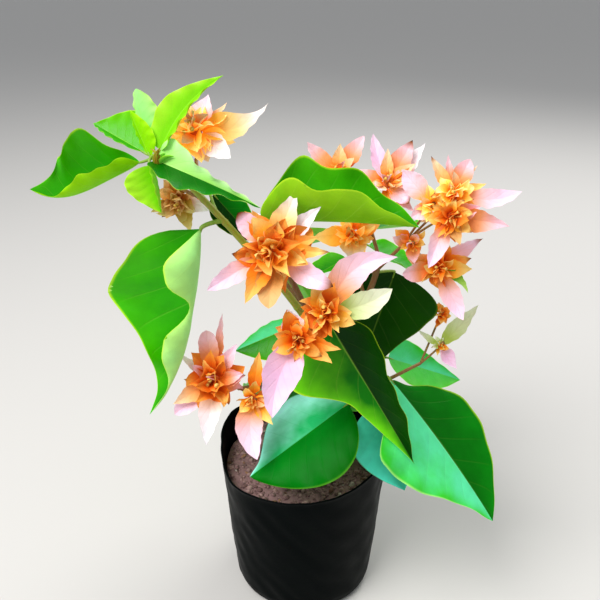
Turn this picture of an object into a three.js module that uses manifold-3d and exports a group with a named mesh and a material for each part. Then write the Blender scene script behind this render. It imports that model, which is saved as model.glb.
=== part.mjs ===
// Young double bougainvillea in a black nursery bag. Millimetres, +Z up.
// The origin is the centre of the bag's flat underside, -Y is the front and +X is on the right.
import * as THREE from "three";
import { mergeVertices } from "three/addons/utils/BufferGeometryUtils.js";
import Module from "manifold-3d";

const wasm = await Module();
wasm.setup();
const { Manifold, Mesh } = wasm;

// Bag and soil. The soft rim's heights go round in even steps from +X towards +Y.
const bagHeight = 106;
const bagFootRadius = 49;
const bagRimRadius = 57.5;
const bagWall = 1.5;
const bagSides = 32;
const bagRimHeights = [112, 108, 107, 108, 111, 113, 106, 100, 100, 102, 107, 113];
const soilHeight = 94;
const soilEdgeDrop = 2;
const soilFlatRadius = 28;

// Gaps and sections shared by the plant's pieces.
const gap = 0.3;
const limbSides = 7;
const stalkSides = 4;
const stalkRadius = 0.9;
const stalkSink = 4;
const leafThickness = 0.014;
const bractThickness = 0.03;
const thinnestBlade = 0.5;
const finestEdge = 0.16;
const coreShare = 0.23;
const rootShare = 0.75;

// Limbs. Each runs from one point to another and bows to one side at its middle.
const limbs = {
  main_stem: {
    from: [3, 4, soilHeight + gap], to: [12, -9, 194], bow: [5, 2, 0], radii: [4.8, 3.2], flare: 3.4,
  },
  left_bough: { from: [10, -11, 192], to: [-69, -23, 301], bow: [8, -8, -1], radii: [2.4, 1.7], young: true },
  centre_bough: { from: [12, -12, 188], to: [-13, -37, 256], bow: [4, -8, -4], radii: [2.2, 1.5] },
  right_bough: { from: [14, -8, 188], to: [45, -4, 243], bow: [4, 0, -6], radii: [2.4, 1.7] },
  low_left_bough: { from: [9, -2, 151], to: [-34, -30, 170], bow: [0, 3, -1], radii: [1.8, 1.2] },
  low_right_bough: { from: [11, -1, 138], to: [52, -12, 164], bow: [0, 0, -6], radii: [1.9, 1.3] },
  rear_bough: { from: [13, -2, 158], to: [34, 44, 228], bow: [-3, 6, -6], radii: [2.2, 1.4] },
  rear_left_bough: { from: [13, -5, 174], to: [-12, 32, 212], bow: [3, 6, -4], radii: [2.0, 1.3] },
  low_rear_bough: { from: [10, 1, 122], to: [20, 34, 156], bow: [0, 4, -4], radii: [2.0, 1.3] },
};

// What a leaf's row leaves out. Folds and rolls are in degrees, the rest in parts of the leaf's length.
const plainLeaf = {
  roll: 0,
  arch: 0,
  hook: 0,
  sway: 0,
  foldLeft: 20,
  foldRight: 20,
  skew: 0,
  rise: 0.6,
  fall: 1.05,
  wave: 0,
  waves: 2,
  lobes: [0, 0],
  crests: [0.3, 0.3],
  lobeWaves: 2.2,
  curl: 0.3,
  bends: [null, null],
  edges: [1, 1],
};

// Each mass: the limb its stem meets, how far along, the stem's further points, its leaves and its heads.
const masses = {
  growing_tip: {
    limb: "left_bough",
    at: 1,
    stem: [[-74, -22, 307], [-78, -21, 311]],
    leaves: [
      { foot: [-88, -24, 307], azimuth: -152, lift: -7, length: 58, width: 60, foldLeft: [60, 52, 45],
        foldRight: [75, 85, 85, 70], arch: -0.08, hook: -0.08, wave: 0.02, rise: 0.8, fall: 0.7, skew: 0.25,
        edges: [[0.6, 0.9, 0.75, 0.66, 0.66, 0.66, 0.62, 0.45, 0.2, 0.1, 0.1], [0.8, 0.72, 0.7, 0.95, 0.84, 0.77, 0.68, 0.66, 0.64, 0.5, 0.3]] },
      { foot: [-88, -14, 310], azimuth: 154, lift: 21, length: 36, width: 26, roll: 15, foldLeft: 35,
        foldRight: 50, edges: [1, [1, 1.3, 1.4, 1.35, 1.2, 1]] },
      { foot: [-83, -12, 312], azimuth: 172, lift: 78, length: 32, width: 18, roll: -68, foldLeft: 10,
        foldRight: 20, rise: 1, fall: 0.7, sway: 0.05, skew: -0.2 },
      { foot: [-84, -18, 309], azimuth: 160, lift: 67, length: 26, width: 15, roll: -70, foldLeft: 30,
        foldRight: 20, rise: 0.7 },
      { foot: [-78, -18, 312], azimuth: -7, lift: 47, length: 54, width: 29, roll: -70, foldLeft: 10,
        foldRight: [55, 55, 65], sway: -0.09, rise: 0.4, fall: 1.2,
        edges: [[0.7, 0.75, 0.9, 0.85, 0.8, 0.8], [1, 1, 1, 0.9, 0.9, 0.9]] },
      { foot: [-79, -28, 309], azimuth: -25, lift: -16, length: 65, width: 34, arch: 0.01,
        foldLeft: [70, 96, 104], foldRight: [10, -5, 0], rise: 0.35, bends: [30, 20],
        edges: [[1.1, 0.8, 0.45, 0.4, 0.4, 0.5], [1, 1, 1.1, 0.8, 0.6, 0.6]] },
      { foot: [-82, -30, 307], azimuth: -60, lift: -61, length: 26, width: 32, foldLeft: 110, foldRight: 5 },
    ],
  },
  hanging_leaf: {
    limb: "left_bough",
    at: 0.77,
    ease: 0.2,
    leaves: [
      { foot: [-57, -31, 272], azimuth: -145, lift: -69, length: 113, width: 60, roll: -50,
        foldLeft: [22, 15, 25], foldRight: 110, sway: 0.05, arch: -0.045, hook: -0.03, wave: 0.02, skew: 0.4,
        lobes: [0.8, 0], crests: [0.17, 0.44], rise: 0.45, fall: 1.3, bends: [105, 30],
        edges: [[1.2, 1.2, 1.05, 1.35, 1.15, 1.5, 1.15, 1.4, 1.8, 1.5, 1], [1, 1, 1, 1.12, 1.22, 1.12, 1, 0.95, 0.78, 0.7, 1]] },
    ],
  },
  shoot_leaf: {
    limb: "left_bough",
    at: 0.8,
    leaves: [
      { foot: [-51, -16, 287], azimuth: -14, lift: -47, length: 36, width: 22, roll: -50, foldLeft: 10,
        foldRight: 10 },
    ],
  },
  arching_leaf: {
    limb: "centre_bough",
    at: 0.8,
    leaves: [
      { foot: [-24, -27, 275], azimuth: -13, lift: 2, length: 86, width: 65, foldLeft: 80,
        foldRight: [62, 52, 50], arch: 0.02, wave: 0.02, lobes: [0.12, 0.1], crests: [0.26, 0.26],
        lobeWaves: 2.8 },
    ],
  },
  inner_left_leaf: {
    limb: "left_bough",
    at: 0.14,
    leaves: [
      { foot: [-4, -12, 204], azimuth: -170, lift: -21, length: 42, width: 34, foldLeft: -45, foldRight: 0 },
    ],
  },
  centre_leaf: {
    limb: "centre_bough",
    at: 0.35,
    leaves: [
      { foot: [13, -34, 218], azimuth: -33, lift: -52, length: 98, width: 58, roll: -40,
        foldLeft: [60, 68, 55], foldRight: -8, lobes: [0.1, 0], crests: [0.8, 0.2], lobeWaves: 1.5,
        rise: 0.55, fall: 1.3, edges: [1, [0.9, 1.22, 1.38, 1.22, 0.85, 0.57, 0.54, 0.52, 0.52, 0.5, 0.5]] },
    ],
  },
  shaded_leaf: {
    limb: "right_bough",
    at: 0.9,
    ease: 0.1,
    leaves: [
      { foot: [56, 6, 231], azimuth: -160, lift: -72, length: 76, width: 54, roll: 60, foldLeft: 10,
        foldRight: 10, skew: -0.12, rise: 0.5, fall: 0.9,
        edges: [[1.4, 1.35, 1.2, 1, 0.88, 0.75, 0.66, 0.62, 0.6, 0.6, 0.6], 1] },
    ],
  },
  low_right_leaf: {
    limb: "low_right_bough",
    at: 1,
    leaves: [
      { foot: [54, -20, 169], azimuth: -33, lift: -46, length: 107, width: 76, foldLeft: [0, 15, 20],
        foldRight: 0, sway: -0.03, skew: 0.07, rise: 0.8, fall: 0.95,
        edges: [[0.5, 0.55, 0.9, 1.05, 1.1, 1.08, 1.03, 1, 0.97, 0.93, 0.9], [1, 1.3, 1.6, 1.45, 1.25, 1.15, 1, 0.85, 0.7, 0.6, 0.6]] },
    ],
  },
  blue_leaf: {
    limb: "low_right_bough",
    at: 0.75,
    leaves: [
      { foot: [43, -31, 157], azimuth: -33, lift: -66, length: 60, width: 45, roll: -40, foldLeft: 10,
        foldRight: 0 },
    ],
  },
  mid_right_leaf: {
    limb: "low_right_bough",
    at: 0.75,
    stem: [[45, 4, 151], [49, 13, 161]],
    leaves: [
      { foot: [56, 11, 167], azimuth: 9, lift: -23, length: 57, width: 38, roll: -20, foldLeft: 20,
        foldRight: 0, edges: [[1, 1, 0.8, 0.65, 0.6, 0.7], 1] },
    ],
  },
  round_leaf: {
    limb: "main_stem",
    at: 0.55,
    leaves: [
      { foot: [27, -30, 158], azimuth: -160, lift: -31, length: 75, width: 70, foldLeft: -24, foldRight: 6,
        rise: 0.55, fall: 0.85, bends: [-30, -10],
        edges: [1, [0.7, 0.75, 0.85, 1, 1, 1, 1, 0.95, 0.65, 0.4, 0.3]] },
    ],
  },
  low_left_leaf: {
    limb: "main_stem",
    at: 0.35,
    leaves: [
      { foot: [-8, 14, 128], azimuth: 120, lift: -12, length: 66, width: 50, wave: 0.03 },
    ],
  },
  low_rear_right_leaf: {
    limb: "main_stem",
    at: 0.28,
    leaves: [
      { foot: [24, 14, 124], azimuth: 35, lift: -12, length: 70, width: 54, wave: 0.03 },
    ],
  },
  tip_blossom: {
    limb: "left_bough",
    at: 0.9,
    stem: [[-60, -12, 306]],
    heads: [
      { centre: [-60, -9, 320], face: [-105, 35], reach: 21, bracts: 8, seed: 11, long: [
        [9, 20, 43, 20, { sway: 0.12, rise: 0.6, fall: 1.6 }], [-31, -26, 26, 15, { rise: 0.8, fall: 0.95 }],
        [51, 59, 22, 15], [24, 38, 24, 6], [123, 61, 17, 9], [-71, -47, 19, 12], [-9, -12, 23, 12]] },
    ],
  },
  faded_blossom: {
    limb: "left_bough",
    at: 0.88,
    stem: [[-70, -14, 290]],
    heads: [
      { centre: [-72, -8, 283], face: [-80, -10], reach: 19, bracts: 8, seed: 12, long: [
        [-25, -15, 21, 10], [-165, -25, 18, 9], [-50, -60, 21, 10]] },
    ],
  },
  large_blossom: {
    limb: "centre_bough",
    at: 1,
    stem: [[-16, -46, 262]],
    heads: [
      { centre: [-18, -54, 268], face: [-95, 15], reach: 26, bracts: 9, seed: 13, long: [
        [34, 61, 35, 15, { fall: 1.4, arch: -0.02 }], [15, 39, 35, 12], [-9, 2, 31, 9], [-4, 18, 26, 10],
        [-25, -21, 38, 14, { rise: 1.1, fall: 0.9, sway: 0.04 }],
        [-153, -23, 39, 12, { rise: 0.9, fall: 0.9 }], [-121, -40, 32, 13], [-92, -50, 31, 16, { fall: 0.7 }],
        [163, 47, 26, 13, { fall: 0.6 }], [150, 62, 23, 12], [-34, -4, 22, 10]] },
    ],
  },
  centre_blossom: {
    limb: "centre_bough",
    at: 0.55,
    stem: [[3, -52, 225]],
    heads: [
      { centre: [11, -62, 236], face: [-90, 25], reach: 19, bracts: 8, seed: 14, long: [
        [18, 34, 48, 19, { sway: -0.2, rise: 0.7, fall: 1.1 }],
        [3, 21, 37, 16, { sway: 0.08, rise: 1, fall: 1 }]] },
      { centre: [-4, -66, 223], face: [-90, 0], reach: 18, bracts: 7, seed: 15, long: [
        [-122, -55, 44, 22, { sway: 0.08, rise: 0.5, fall: 0.9, arch: 0.02 }], [150, 70, 17, 14],
        [-32, -23, 23, 10], [-15, -8, 24, 9], [-160, 20, 14, 9]] },
    ],
  },
  top_blossom: {
    limb: "right_bough",
    at: 1,
    stem: [[39, -1, 262]],
    heads: [
      { centre: [19, -6, 296], face: [-90, 60], reach: 14, bracts: 5, seed: 16, long: [
        [162, 42, 25, 11, { foldLeft: 15, foldRight: 15, fall: 0.9 }], [80, 75, 17, 9],
        [32, 49, 26, 13, { rise: 0.6, fall: 0.9 }], [-13, 49, 13, 9]] },
      { centre: [45, -14, 292], face: [-90, 50], reach: 14, bracts: 5, seed: 17, long: [
        [116, 58, 30, 10, { fall: 1 }], [82, 71, 20, 8], [35, 51, 29, 14, { fall: 1 }], [8, 35, 20, 10],
        [30, 38, 33, 14], [-3, 18, 20, 13], [166, 27, 17, 9], [-129, -2, 12, 9],
        [-35, -29, 17, 13, { fall: 0.7 }], [-22, -38, 22, 9]] },
    ],
  },
  right_blossom: {
    limb: "right_bough",
    at: 0.92,
    stem: [[58, -7, 254]],
    heads: [
      { centre: [80, -26, 290], face: [-90, 35], reach: 16, bracts: 5, seed: 18, long: [
        [-2, 3, 37, 12, { sway: 0.08, rise: 1, fall: 1 }], [143, 52, 24, 8], [102, 62, 22, 6],
        [45, 50, 22, 12, { fall: 0.7 }], [34, 38, 22, 4], [13, 14, 20, 7]] },
      { centre: [77, -37, 281], face: [-90, 5], reach: 16, bracts: 5, seed: 31, long: [
        [-8, -7, 32, 14, { rise: 0.6, fall: 1.2 }], [-3, 20, 17, 11],
        [-126, -47, 31, 12, { rise: 0.9, fall: 1 }], [-66, -47, 17, 8], [-42, -23, 15, 9]] },
      { centre: [69, -27, 284], face: [-100, 10], reach: 14, bracts: 3, seed: 32, long: [
        [152, 44, 25, 14, { rise: 1, fall: 0.9 }], [-166, -27, 14, 10]] },
      { centre: [77, -18, 244], face: [-90, 0], reach: 16, bracts: 5, seed: 19, long: [
        [11, 31, 31, 12], [-9, 20, 20, 13], [60, 73, 19, 11], [-20, 5, 20, 13],
        [-53, -48, 34, 13, { rise: 0.8, fall: 0.9 }], [-164, -4, 22, 14, { fall: 0.7 }], [180, 21, 20, 12],
        [-28, -33, 23, 6, { sway: -0.15 }]] },
      { centre: [61, -17, 259], face: [-95, 0], reach: 12, bracts: 2, seed: 33, long: [
        [-82, -48, 13, 9], [162, 34, 12, 10]] },
    ],
  },
  inner_blossom: {
    limb: "right_bough",
    at: 0.62,
    stem: [[30, -4, 246]],
    heads: [
      { centre: [28, -6, 260], face: [-90, 0], reach: 16, bracts: 7, seed: 20, long: [
        [-169, -1, 24, 14], [-88, -46, 18, 17], [2, 26, 20, 11], [-46, -6, 14, 8]] },
    ],
  },
  lower_left_blossom: {
    limb: "low_left_bough",
    at: 1,
    stem: [[-40, -35, 172]],
    heads: [
      { centre: [-54, -40, 181], face: [-85, 30], reach: 25, bracts: 7, seed: 21, long: [
        [75, 61, 40, 7], [111, 68, 30, 13, { rise: 0.8, fall: 0.5 }], [167, 36, 26, 6], [-156, -22, 27, 12],
        [-154, -34, 30, 13, { fall: 0.6 }], [-100, -57, 38, 14, { arch: 0.05 }], [-12, 17, 21, 12],
        [28, 52, 26, 10]] },
      { centre: [-31, -42, 171], face: [-90, -10], reach: 15, bracts: 5, seed: 22, long: [
        [-81, -58, 37, 18, { sway: 0.1, rise: 0.5, fall: 0.8 }], [70, 64, 27, 10], [-45, -34, 21, 11]] },
    ],
  },
  small_blossom: {
    limb: "low_right_bough",
    at: 0.97,
    stem: [[74, -8, 174]],
    heads: [
      { centre: [86, -4, 184], face: [-90, 50], reach: 8, bracts: 3, seed: 23, long: [
        [180, 40, 19, 5], [10, 50, 36, 12], [-30, -45, 18, 11]] },
      { centre: [87, 6, 201], face: [-90, 50], reach: 10, bracts: 4, seed: 24, long: [] },
    ],
  },
  rear_leaves: {
    limb: "rear_bough",
    at: 0.9,
    stem: [[30, 46, 222]],
    leaves: [
      { foot: [28, 39, 227], azimuth: -165, lift: -25, length: 34, width: 26, wave: 0.03 },
      { foot: [43, 45, 234], azimuth: -20, lift: -25, length: 38, width: 30, wave: 0.03 },
      { foot: [44, 58, 241], azimuth: 60, lift: -15, length: 72, width: 52, wave: 0.03 },
      { foot: [30, 58, 238], azimuth: 115, lift: -25, length: 70, width: 52, wave: 0.03 },
    ],
  },
  rear_left_leaves: {
    limb: "rear_left_bough",
    at: 0.9,
    stem: [[-9, 36, 208]],
    leaves: [
      { foot: [-14, 46, 216], azimuth: 105, lift: -20, length: 64, width: 48, wave: 0.03 },
      { foot: [-5, 42, 212], azimuth: 70, lift: -45, length: 58, width: 42, wave: 0.03 },
    ],
  },
  low_rear_leaves: {
    limb: "low_rear_bough",
    at: 0.9,
    stem: [[20, 37, 152]],
    leaves: [
      { foot: [31, 43, 158], azimuth: 50, lift: -25, length: 72, width: 54, wave: 0.03 },
      { foot: [14, 44, 156], azimuth: 110, lift: -30, length: 74, width: 56, wave: 0.03 },
    ],
  },
  rear_blossom: {
    limb: "rear_bough",
    at: 1,
    stem: [[36, 48, 238], [37, 50, 246]],
    heads: [
      { centre: [36, 52, 260], face: [80, 30], reach: 19, bracts: 8, seed: 25, long: [
        [60, 30, 32, 15], [130, 10, 30, 14], [20, 50, 24, 12]] },
    ],
  },
  rear_left_blossom: {
    limb: "rear_left_bough",
    at: 1,
    stem: [[-15, 37, 221]],
    heads: [
      { centre: [-20, 42, 235], face: [110, 25], reach: 18, bracts: 7, seed: 26, long: [
        [100, 20, 30, 15], [150, 60, 24, 12], [60, -40, 30, 13]] },
    ],
  },
  low_rear_blossom: {
    limb: "low_rear_bough",
    at: 1,
    stem: [[23, 39, 165]],
    heads: [
      { centre: [27, 48, 178], face: [75, 20], reach: 18, bracts: 7, seed: 27, long: [
        [60, 0, 32, 15], [110, 40, 28, 13], [20, 30, 26, 12]] },
    ],
  },
};

const degree = Math.PI / 180;
const goldenAngle = 137.5;

function vector(point) {
  return new THREE.Vector3(...point);
}

// Unit vector: azimuth 0 is +X and 90 is +Y, and lift is the angle above the level.
function direction(azimuth, lift) {
  const level = Math.cos(lift * degree);
  return new THREE.Vector3(
    Math.cos(azimuth * degree) * level,
    Math.sin(azimuth * degree) * level,
    Math.sin(lift * degree),
  );
}

function anglesOf(unit) {
  return {
    azimuth: Math.atan2(unit.y, unit.x) / degree,
    lift: Math.asin(THREE.MathUtils.clamp(unit.z, -1, 1)) / degree,
  };
}

// A fixed run of numbers from 0 to 1 for each seed.
function seededRandom(seed) {
  let state = seed;
  return () => {
    state = (Math.imul(state, 1664525) + 1013904223) >>> 0;
    return state / 4294967296;
  };
}

// A value along a blade: one number, or several from foot to tip on a smooth curve.
function along(value, t) {
  if (typeof value === "number") return value;
  const last = value.length - 1;
  const slope = (i) => {
    const before = Math.max(i - 1, 0);
    const after = Math.min(i + 1, last);
    return (value[after] - value[before]) / (after - before);
  };
  const index = Math.min(Math.floor(t * last), last - 1);
  const s = t * last - index;
  return value[index] * (1 + 2 * s) * (1 - s) ** 2 + slope(index) * s * (1 - s) ** 2
    + value[index + 1] * s * s * (3 - 2 * s) - slope(index + 1) * s * s * (1 - s);
}

// A closed solid from points and triangles.
function solidOf(points, triangles) {
  return new Manifold(new Mesh({
    numProp: 3,
    vertProperties: new Float32Array(points.flatMap((p) => [p.x, p.y, p.z])),
    triVerts: new Uint32Array(triangles.flat()),
  }));
}

// A tapered round rod through points, with one radius for each.
function rod(points, radii, sides) {
  const rings = [];
  const normal = new THREE.Vector3();
  points.forEach((point, i) => {
    const before = points[Math.max(i - 1, 0)];
    const after = points[Math.min(i + 1, points.length - 1)];
    const tangent = after.clone().sub(before).normalize();
    if (i === 0) normal.set(Math.abs(tangent.x) > 0.9 ? 0 : 1, Math.abs(tangent.x) > 0.9 ? 1 : 0, 0);
    normal.addScaledVector(tangent, -normal.dot(tangent)).normalize();
    const binormal = tangent.clone().cross(normal);
    for (let k = 0; k < sides; k += 1) {
      const angle = (2 * Math.PI * k) / sides;
      rings.push(
        point.clone()
          .addScaledVector(normal, Math.cos(angle) * radii[i])
          .addScaledVector(binormal, Math.sin(angle) * radii[i]),
      );
    }
  });
  const triangles = [];
  const last = (points.length - 1) * sides;
  for (let start = 0; start < last; start += sides) {
    for (let k = 0; k < sides; k += 1) {
      const next = (k + 1) % sides;
      triangles.push([start + k, start + next, start + sides + next]);
      triangles.push([start + k, start + sides + next, start + sides + k]);
    }
  }
  for (let k = 1; k < sides - 1; k += 1) {
    triangles.push([0, k + 1, k]);
    triangles.push([last, last + k, last + k + 1]);
  }
  return solidOf(rings, triangles);
}

function pointOnLimb(limb, t) {
  return vector(limb.from)
    .lerp(vector(limb.to), t)
    .addScaledVector(vector(limb.bow), 4 * t * (1 - t));
}

// A limb tapers evenly, and the main stem also flares out over the soil.
function limbRod(limb, extra) {
  const steps = 8;
  const flareReach = 0.12;
  const points = [];
  const radii = [];
  for (let i = 0; i <= steps; i += 1) {
    const t = i / steps;
    const flare = (limb.flare ?? 0) * Math.max(0, 1 - t / flareReach) ** 2;
    points.push(pointOnLimb(limb, t));
    radii.push(THREE.MathUtils.lerp(limb.radii[0], limb.radii[1], t) + flare + extra);
  }
  return rod(points, radii, limbSides);
}

// Half width of a leaf or bract at t, as a part of its widest: a round foot and a drawn-out tip.
function outline(blade, t) {
  const peak = blade.rise / (blade.rise + blade.fall);
  return (t ** blade.rise * (1 - t) ** blade.fall) / (peak ** blade.rise * (1 - peak) ** blade.fall);
}

// The points across a blade at t: each half folds up from the midrib, bends round evenly, and
// ripples towards the margin.
function crossRow(blade, frame, t, perHalf, extra) {
  const { axis, side, up } = frame;
  const bump = 4 * t * (1 - t);
  const late = 9.48 * t ** 3 * (1 - t);
  const lateSlope = 9.48 * (3 * t ** 2 - 4 * t ** 3);
  const middle = vector(blade.foot)
    .addScaledVector(axis, blade.length * t)
    .addScaledVector(up, blade.length * (bump * blade.arch + late * blade.hook))
    .addScaledVector(side, blade.length * bump * blade.sway);
  const tangent = axis.clone()
    .addScaledVector(up, (4 - 8 * t) * blade.arch + lateSlope * blade.hook)
    .addScaledVector(side, (4 - 8 * t) * blade.sway)
    .normalize();
  const across = side.clone().addScaledVector(tangent, -side.dot(tangent)).normalize();
  const normal = across.clone().cross(tangent);
  const points = [];
  for (let k = -perHalf; k <= perHalf; k += 1) {
    const sign = Math.sign(k);
    const part = Math.abs(k) / perHalf;
    const half = sign < 0 ? 0 : 1;
    const lobe = 1 + blade.lobes[half] * Math.cos(2 * Math.PI * blade.lobeWaves * (t - blade.crests[half]));
    const width = (blade.width / 2) * outline(blade, t) * (1 + sign * blade.skew) * lobe
      * along(blade.edges[half], t) + extra;
    const fold = along(sign < 0 ? blade.foldLeft : blade.foldRight, t) * degree;
    const bend = blade.bends[half] === null ? 2 * blade.curl * fold : blade.bends[half] * degree;
    const first = fold - bend / 2;
    const here = first + bend * part;
    const flat = Math.abs(bend) < 1e-6;
    const out = flat ? part * Math.cos(fold) : (Math.sin(here) - Math.sin(first)) / bend;
    const rise = flat ? part * Math.sin(fold) : (Math.cos(first) - Math.cos(here)) / bend;
    const phase = half * 1.9;
    const ripple = blade.wave * blade.length * part ** 2 * Math.sqrt(bump)
      * Math.sin(2 * Math.PI * (blade.waves * t + phase));
    points.push(
      middle.clone()
        .addScaledVector(across, sign * (width * out - ripple * Math.sin(here)))
        .addScaledVector(normal, width * rise + ripple * Math.cos(here)),
    );
  }
  return points;
}

function bladeFrame(blade) {
  const axis = direction(blade.azimuth, blade.lift);
  const level = new THREE.Vector3(Math.sin(blade.azimuth * degree), -Math.cos(blade.azimuth * degree), 0);
  const upright = level.clone().cross(axis);
  const turn = blade.roll * degree;
  return {
    axis,
    side: level.clone().multiplyScalar(Math.cos(turn)).addScaledVector(upright, Math.sin(turn)),
    up: upright.clone().multiplyScalar(Math.cos(turn)).addScaledVector(level, -Math.sin(turn)),
  };
}

// A leaf or bract as a thin closed solid: full thickness inside, running out to a fine margin, foot and tip.
function bladeSolid(blade, perHalf, steps, thickness, extra) {
  const frame = bladeFrame(blade);
  const columns = 2 * perHalf + 1;
  const rows = [];
  for (let i = 0; i <= steps; i += 1) {
    rows.push(crossRow(blade, frame, i / steps, perHalf, extra));
  }
  const points = [rows[0][perHalf].clone().addScaledVector(frame.axis, -extra)];
  const tip = rows[steps][perHalf].clone().addScaledVector(frame.axis, extra);
  const top = [];
  const bottom = [];
  for (let i = 1; i < steps; i += 1) {
    const topRow = [];
    const bottomRow = [];
    for (let j = 0; j < columns; j += 1) {
      const margin = j === 0 || j === columns - 1;
      const across = rows[i][Math.min(j + 1, columns - 1)].clone().sub(rows[i][Math.max(j - 1, 0)]);
      const lengthwise = rows[i + 1][j].clone().sub(rows[i - 1][j]);
      const lift = across.cross(lengthwise).normalize().multiplyScalar(thickness / 2 + extra);
      topRow.push(points.length);
      points.push(margin ? rows[i][j] : rows[i][j].clone().add(lift));
      bottomRow.push(margin ? topRow[j] : points.length);
      if (!margin) points.push(rows[i][j].clone().sub(lift));
    }
    top.push(topRow);
    bottom.push(bottomRow);
  }
  const tipIndex = points.length;
  points.push(tip);
  const triangles = [];
  for (const [grid, turned] of [[top, false], [bottom, true]]) {
    const add = (a, b, c) => triangles.push(turned ? [a, c, b] : [a, b, c]);
    for (let j = 0; j < columns - 1; j += 1) {
      add(0, grid[0][j + 1], grid[0][j]);
      for (let i = 0; i < grid.length - 1; i += 1) {
        add(grid[i][j], grid[i][j + 1], grid[i + 1][j + 1]);
        add(grid[i][j], grid[i + 1][j + 1], grid[i + 1][j]);
      }
      add(grid[grid.length - 1][j], grid[grid.length - 1][j + 1], tipIndex);
    }
  }
  return solidOf(points, triangles);
}

// A piece of a mass, with the same piece made fatter by the gap, which nothing else may enter.
function piece(build, mayDrop = false) {
  return { solid: build(0), room: build(gap), mayDrop };
}

// A stalk that leaves one point and comes in to another along a given direction.
function stalk(start, end, heading, radius, ease = 0.5) {
  const steps = 3;
  const bend = end.clone().addScaledVector(heading, -ease * start.distanceTo(end));
  const curve = new THREE.QuadraticBezierCurve3(start, bend, end);
  const points = curve.getPoints(steps);
  points.push(end.clone().addScaledVector(heading, stalkSink));
  return piece((extra) => rod(points, points.map((point, i) => radius * (1 - 0.1 * i) + extra), stalkSides));
}

function leafPieces(row, start, ease) {
  const leaf = { ...plainLeaf, ...row };
  const thickness = Math.max(thinnestBlade, leafThickness * leaf.length);
  const heading = direction(leaf.azimuth, leaf.lift);
  return [
    stalk(start, vector(leaf.foot), heading, stalkRadius, ease),
    piece((extra) => bladeSolid(leaf, leaf.length < 58 ? 1 : 2, leaf.length > 80 ? 10 : 7, thickness, extra)),
  ];
}

// A bract leans out from the head's centre, with its upper face towards the way the head faces.
function bractPiece(head, outward, length, width, mayDrop, own) {
  const face = direction(...head.face);
  const { azimuth, lift } = anglesOf(outward);
  const level = new THREE.Vector3(Math.sin(azimuth * degree), -Math.cos(azimuth * degree), 0);
  const upright = level.clone().cross(outward);
  const inner = rootShare * coreShare * head.reach;
  const bract = {
    ...plainLeaf,
    foot: vector(head.centre).addScaledVector(outward, inner).toArray(),
    azimuth,
    lift,
    roll: Math.atan2(-face.dot(level), face.dot(upright)) / degree,
    length: length - inner,
    width,
    arch: -0.08,
    foldLeft: 25,
    foldRight: 25,
    rise: 0.75,
    fall: mayDrop ? 0.85 : 1.25,
    ...own,
  };
  const thickness = Math.max(thinnestBlade, bractThickness * length);
  return piece((extra) => bladeSolid(bract, 1, length < 34 ? 3 : 4, thickness, extra), mayDrop);
}

// The round core that a head's bracts and stalk run into.
function corePiece(head) {
  const face = direction(...head.face);
  const radius = coreShare * head.reach;
  const points = [-1, 0, 1].map((place) => vector(head.centre).addScaledVector(face, place * radius));
  return piece((extra) => rod(points, [0.5, 1, 0.5].map((share) => share * radius + extra), 6));
}

// A head: its core, its long outer bracts, then smaller ones spread by the golden angle from face to back.
function headPieces(head) {
  const random = seededRandom(head.seed);
  const face = direction(...head.face);
  const level = new THREE.Vector3(-Math.sin(head.face[0] * degree), Math.cos(head.face[0] * degree), 0);
  const upright = face.clone().cross(level);
  const pieces = [corePiece(head)];
  for (const [azimuth, lift, length, width, own] of head.long) {
    pieces.push(bractPiece(head, direction(azimuth, lift), length, width, false, own));
  }
  for (let k = 0; k < head.bracts; k += 1) {
    const share = (k + 0.5) / head.bracts;
    const polar = (12 + 95 * share ** 0.8) * degree;
    const spin = (goldenAngle * k + 40 * random()) * degree;
    const outward = face.clone().multiplyScalar(Math.cos(polar))
      .addScaledVector(level, Math.cos(spin) * Math.sin(polar))
      .addScaledVector(upright, Math.sin(spin) * Math.sin(polar));
    const length = head.reach * (0.6 + 0.3 * share + 0.1 * random());
    pieces.push(bractPiece(head, outward, length, 0.66 * length, true));
  }
  return pieces;
}

// The stem of a mass from its limb on, then a stalk to each leaf and each head.
function massPieces(mass) {
  const limb = limbs[mass.limb];
  const start = pointOnLimb(limb, mass.at);
  const stemPoints = [start, ...(mass.stem ?? []).map(vector)];
  const end = stemPoints[stemPoints.length - 1];
  const pieces = [];
  if (mass.stem) {
    const radii = stemPoints.map((point, i) => 1.4 - (0.3 * i) / (stemPoints.length - 1));
    pieces.push(piece((extra) => rod(stemPoints, radii.map((radius) => radius + extra), stalkSides + 1)));
  }
  for (const row of mass.leaves ?? []) pieces.push(...leafPieces(row, end, mass.ease));
  for (const head of mass.heads ?? []) {
    const centre = vector(head.centre);
    const heading = direction(...head.face).lerp(centre.clone().sub(end).normalize(), 0.6).normalize();
    pieces.push(stalk(end, centre, heading, stalkRadius));
    pieces.push(...headPieces(head));
  }
  return pieces;
}

const materials = {
  bag: new THREE.MeshStandardMaterial({ color: 0x101416, roughness: 0.45 }),
  soil: new THREE.MeshStandardMaterial({ color: 0x6a5148, roughness: 0.95 }),
  wood: new THREE.MeshStandardMaterial({ color: 0x6e4a30, roughness: 0.75 }),
  shoot: new THREE.MeshStandardMaterial({ color: 0x8a9a2c, roughness: 0.55 }),
  leaf: new THREE.MeshStandardMaterial({ color: 0x3ea81c, roughness: 0.4, side: THREE.DoubleSide }),
  blossom: new THREE.MeshStandardMaterial({ color: 0xf49a4a, roughness: 0.6, side: THREE.DoubleSide }),
};

const plant = new THREE.Group();
const placed = [];

function boxesMeet(a, b) {
  return [0, 1, 2].every((axis) => a.min[axis] < b.max[axis] && b.min[axis] < a.max[axis]);
}

function largestBody(solid) {
  return solid.decompose().reduce((best, body) => (body.volume() > best.volume() ? body : best));
}

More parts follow.
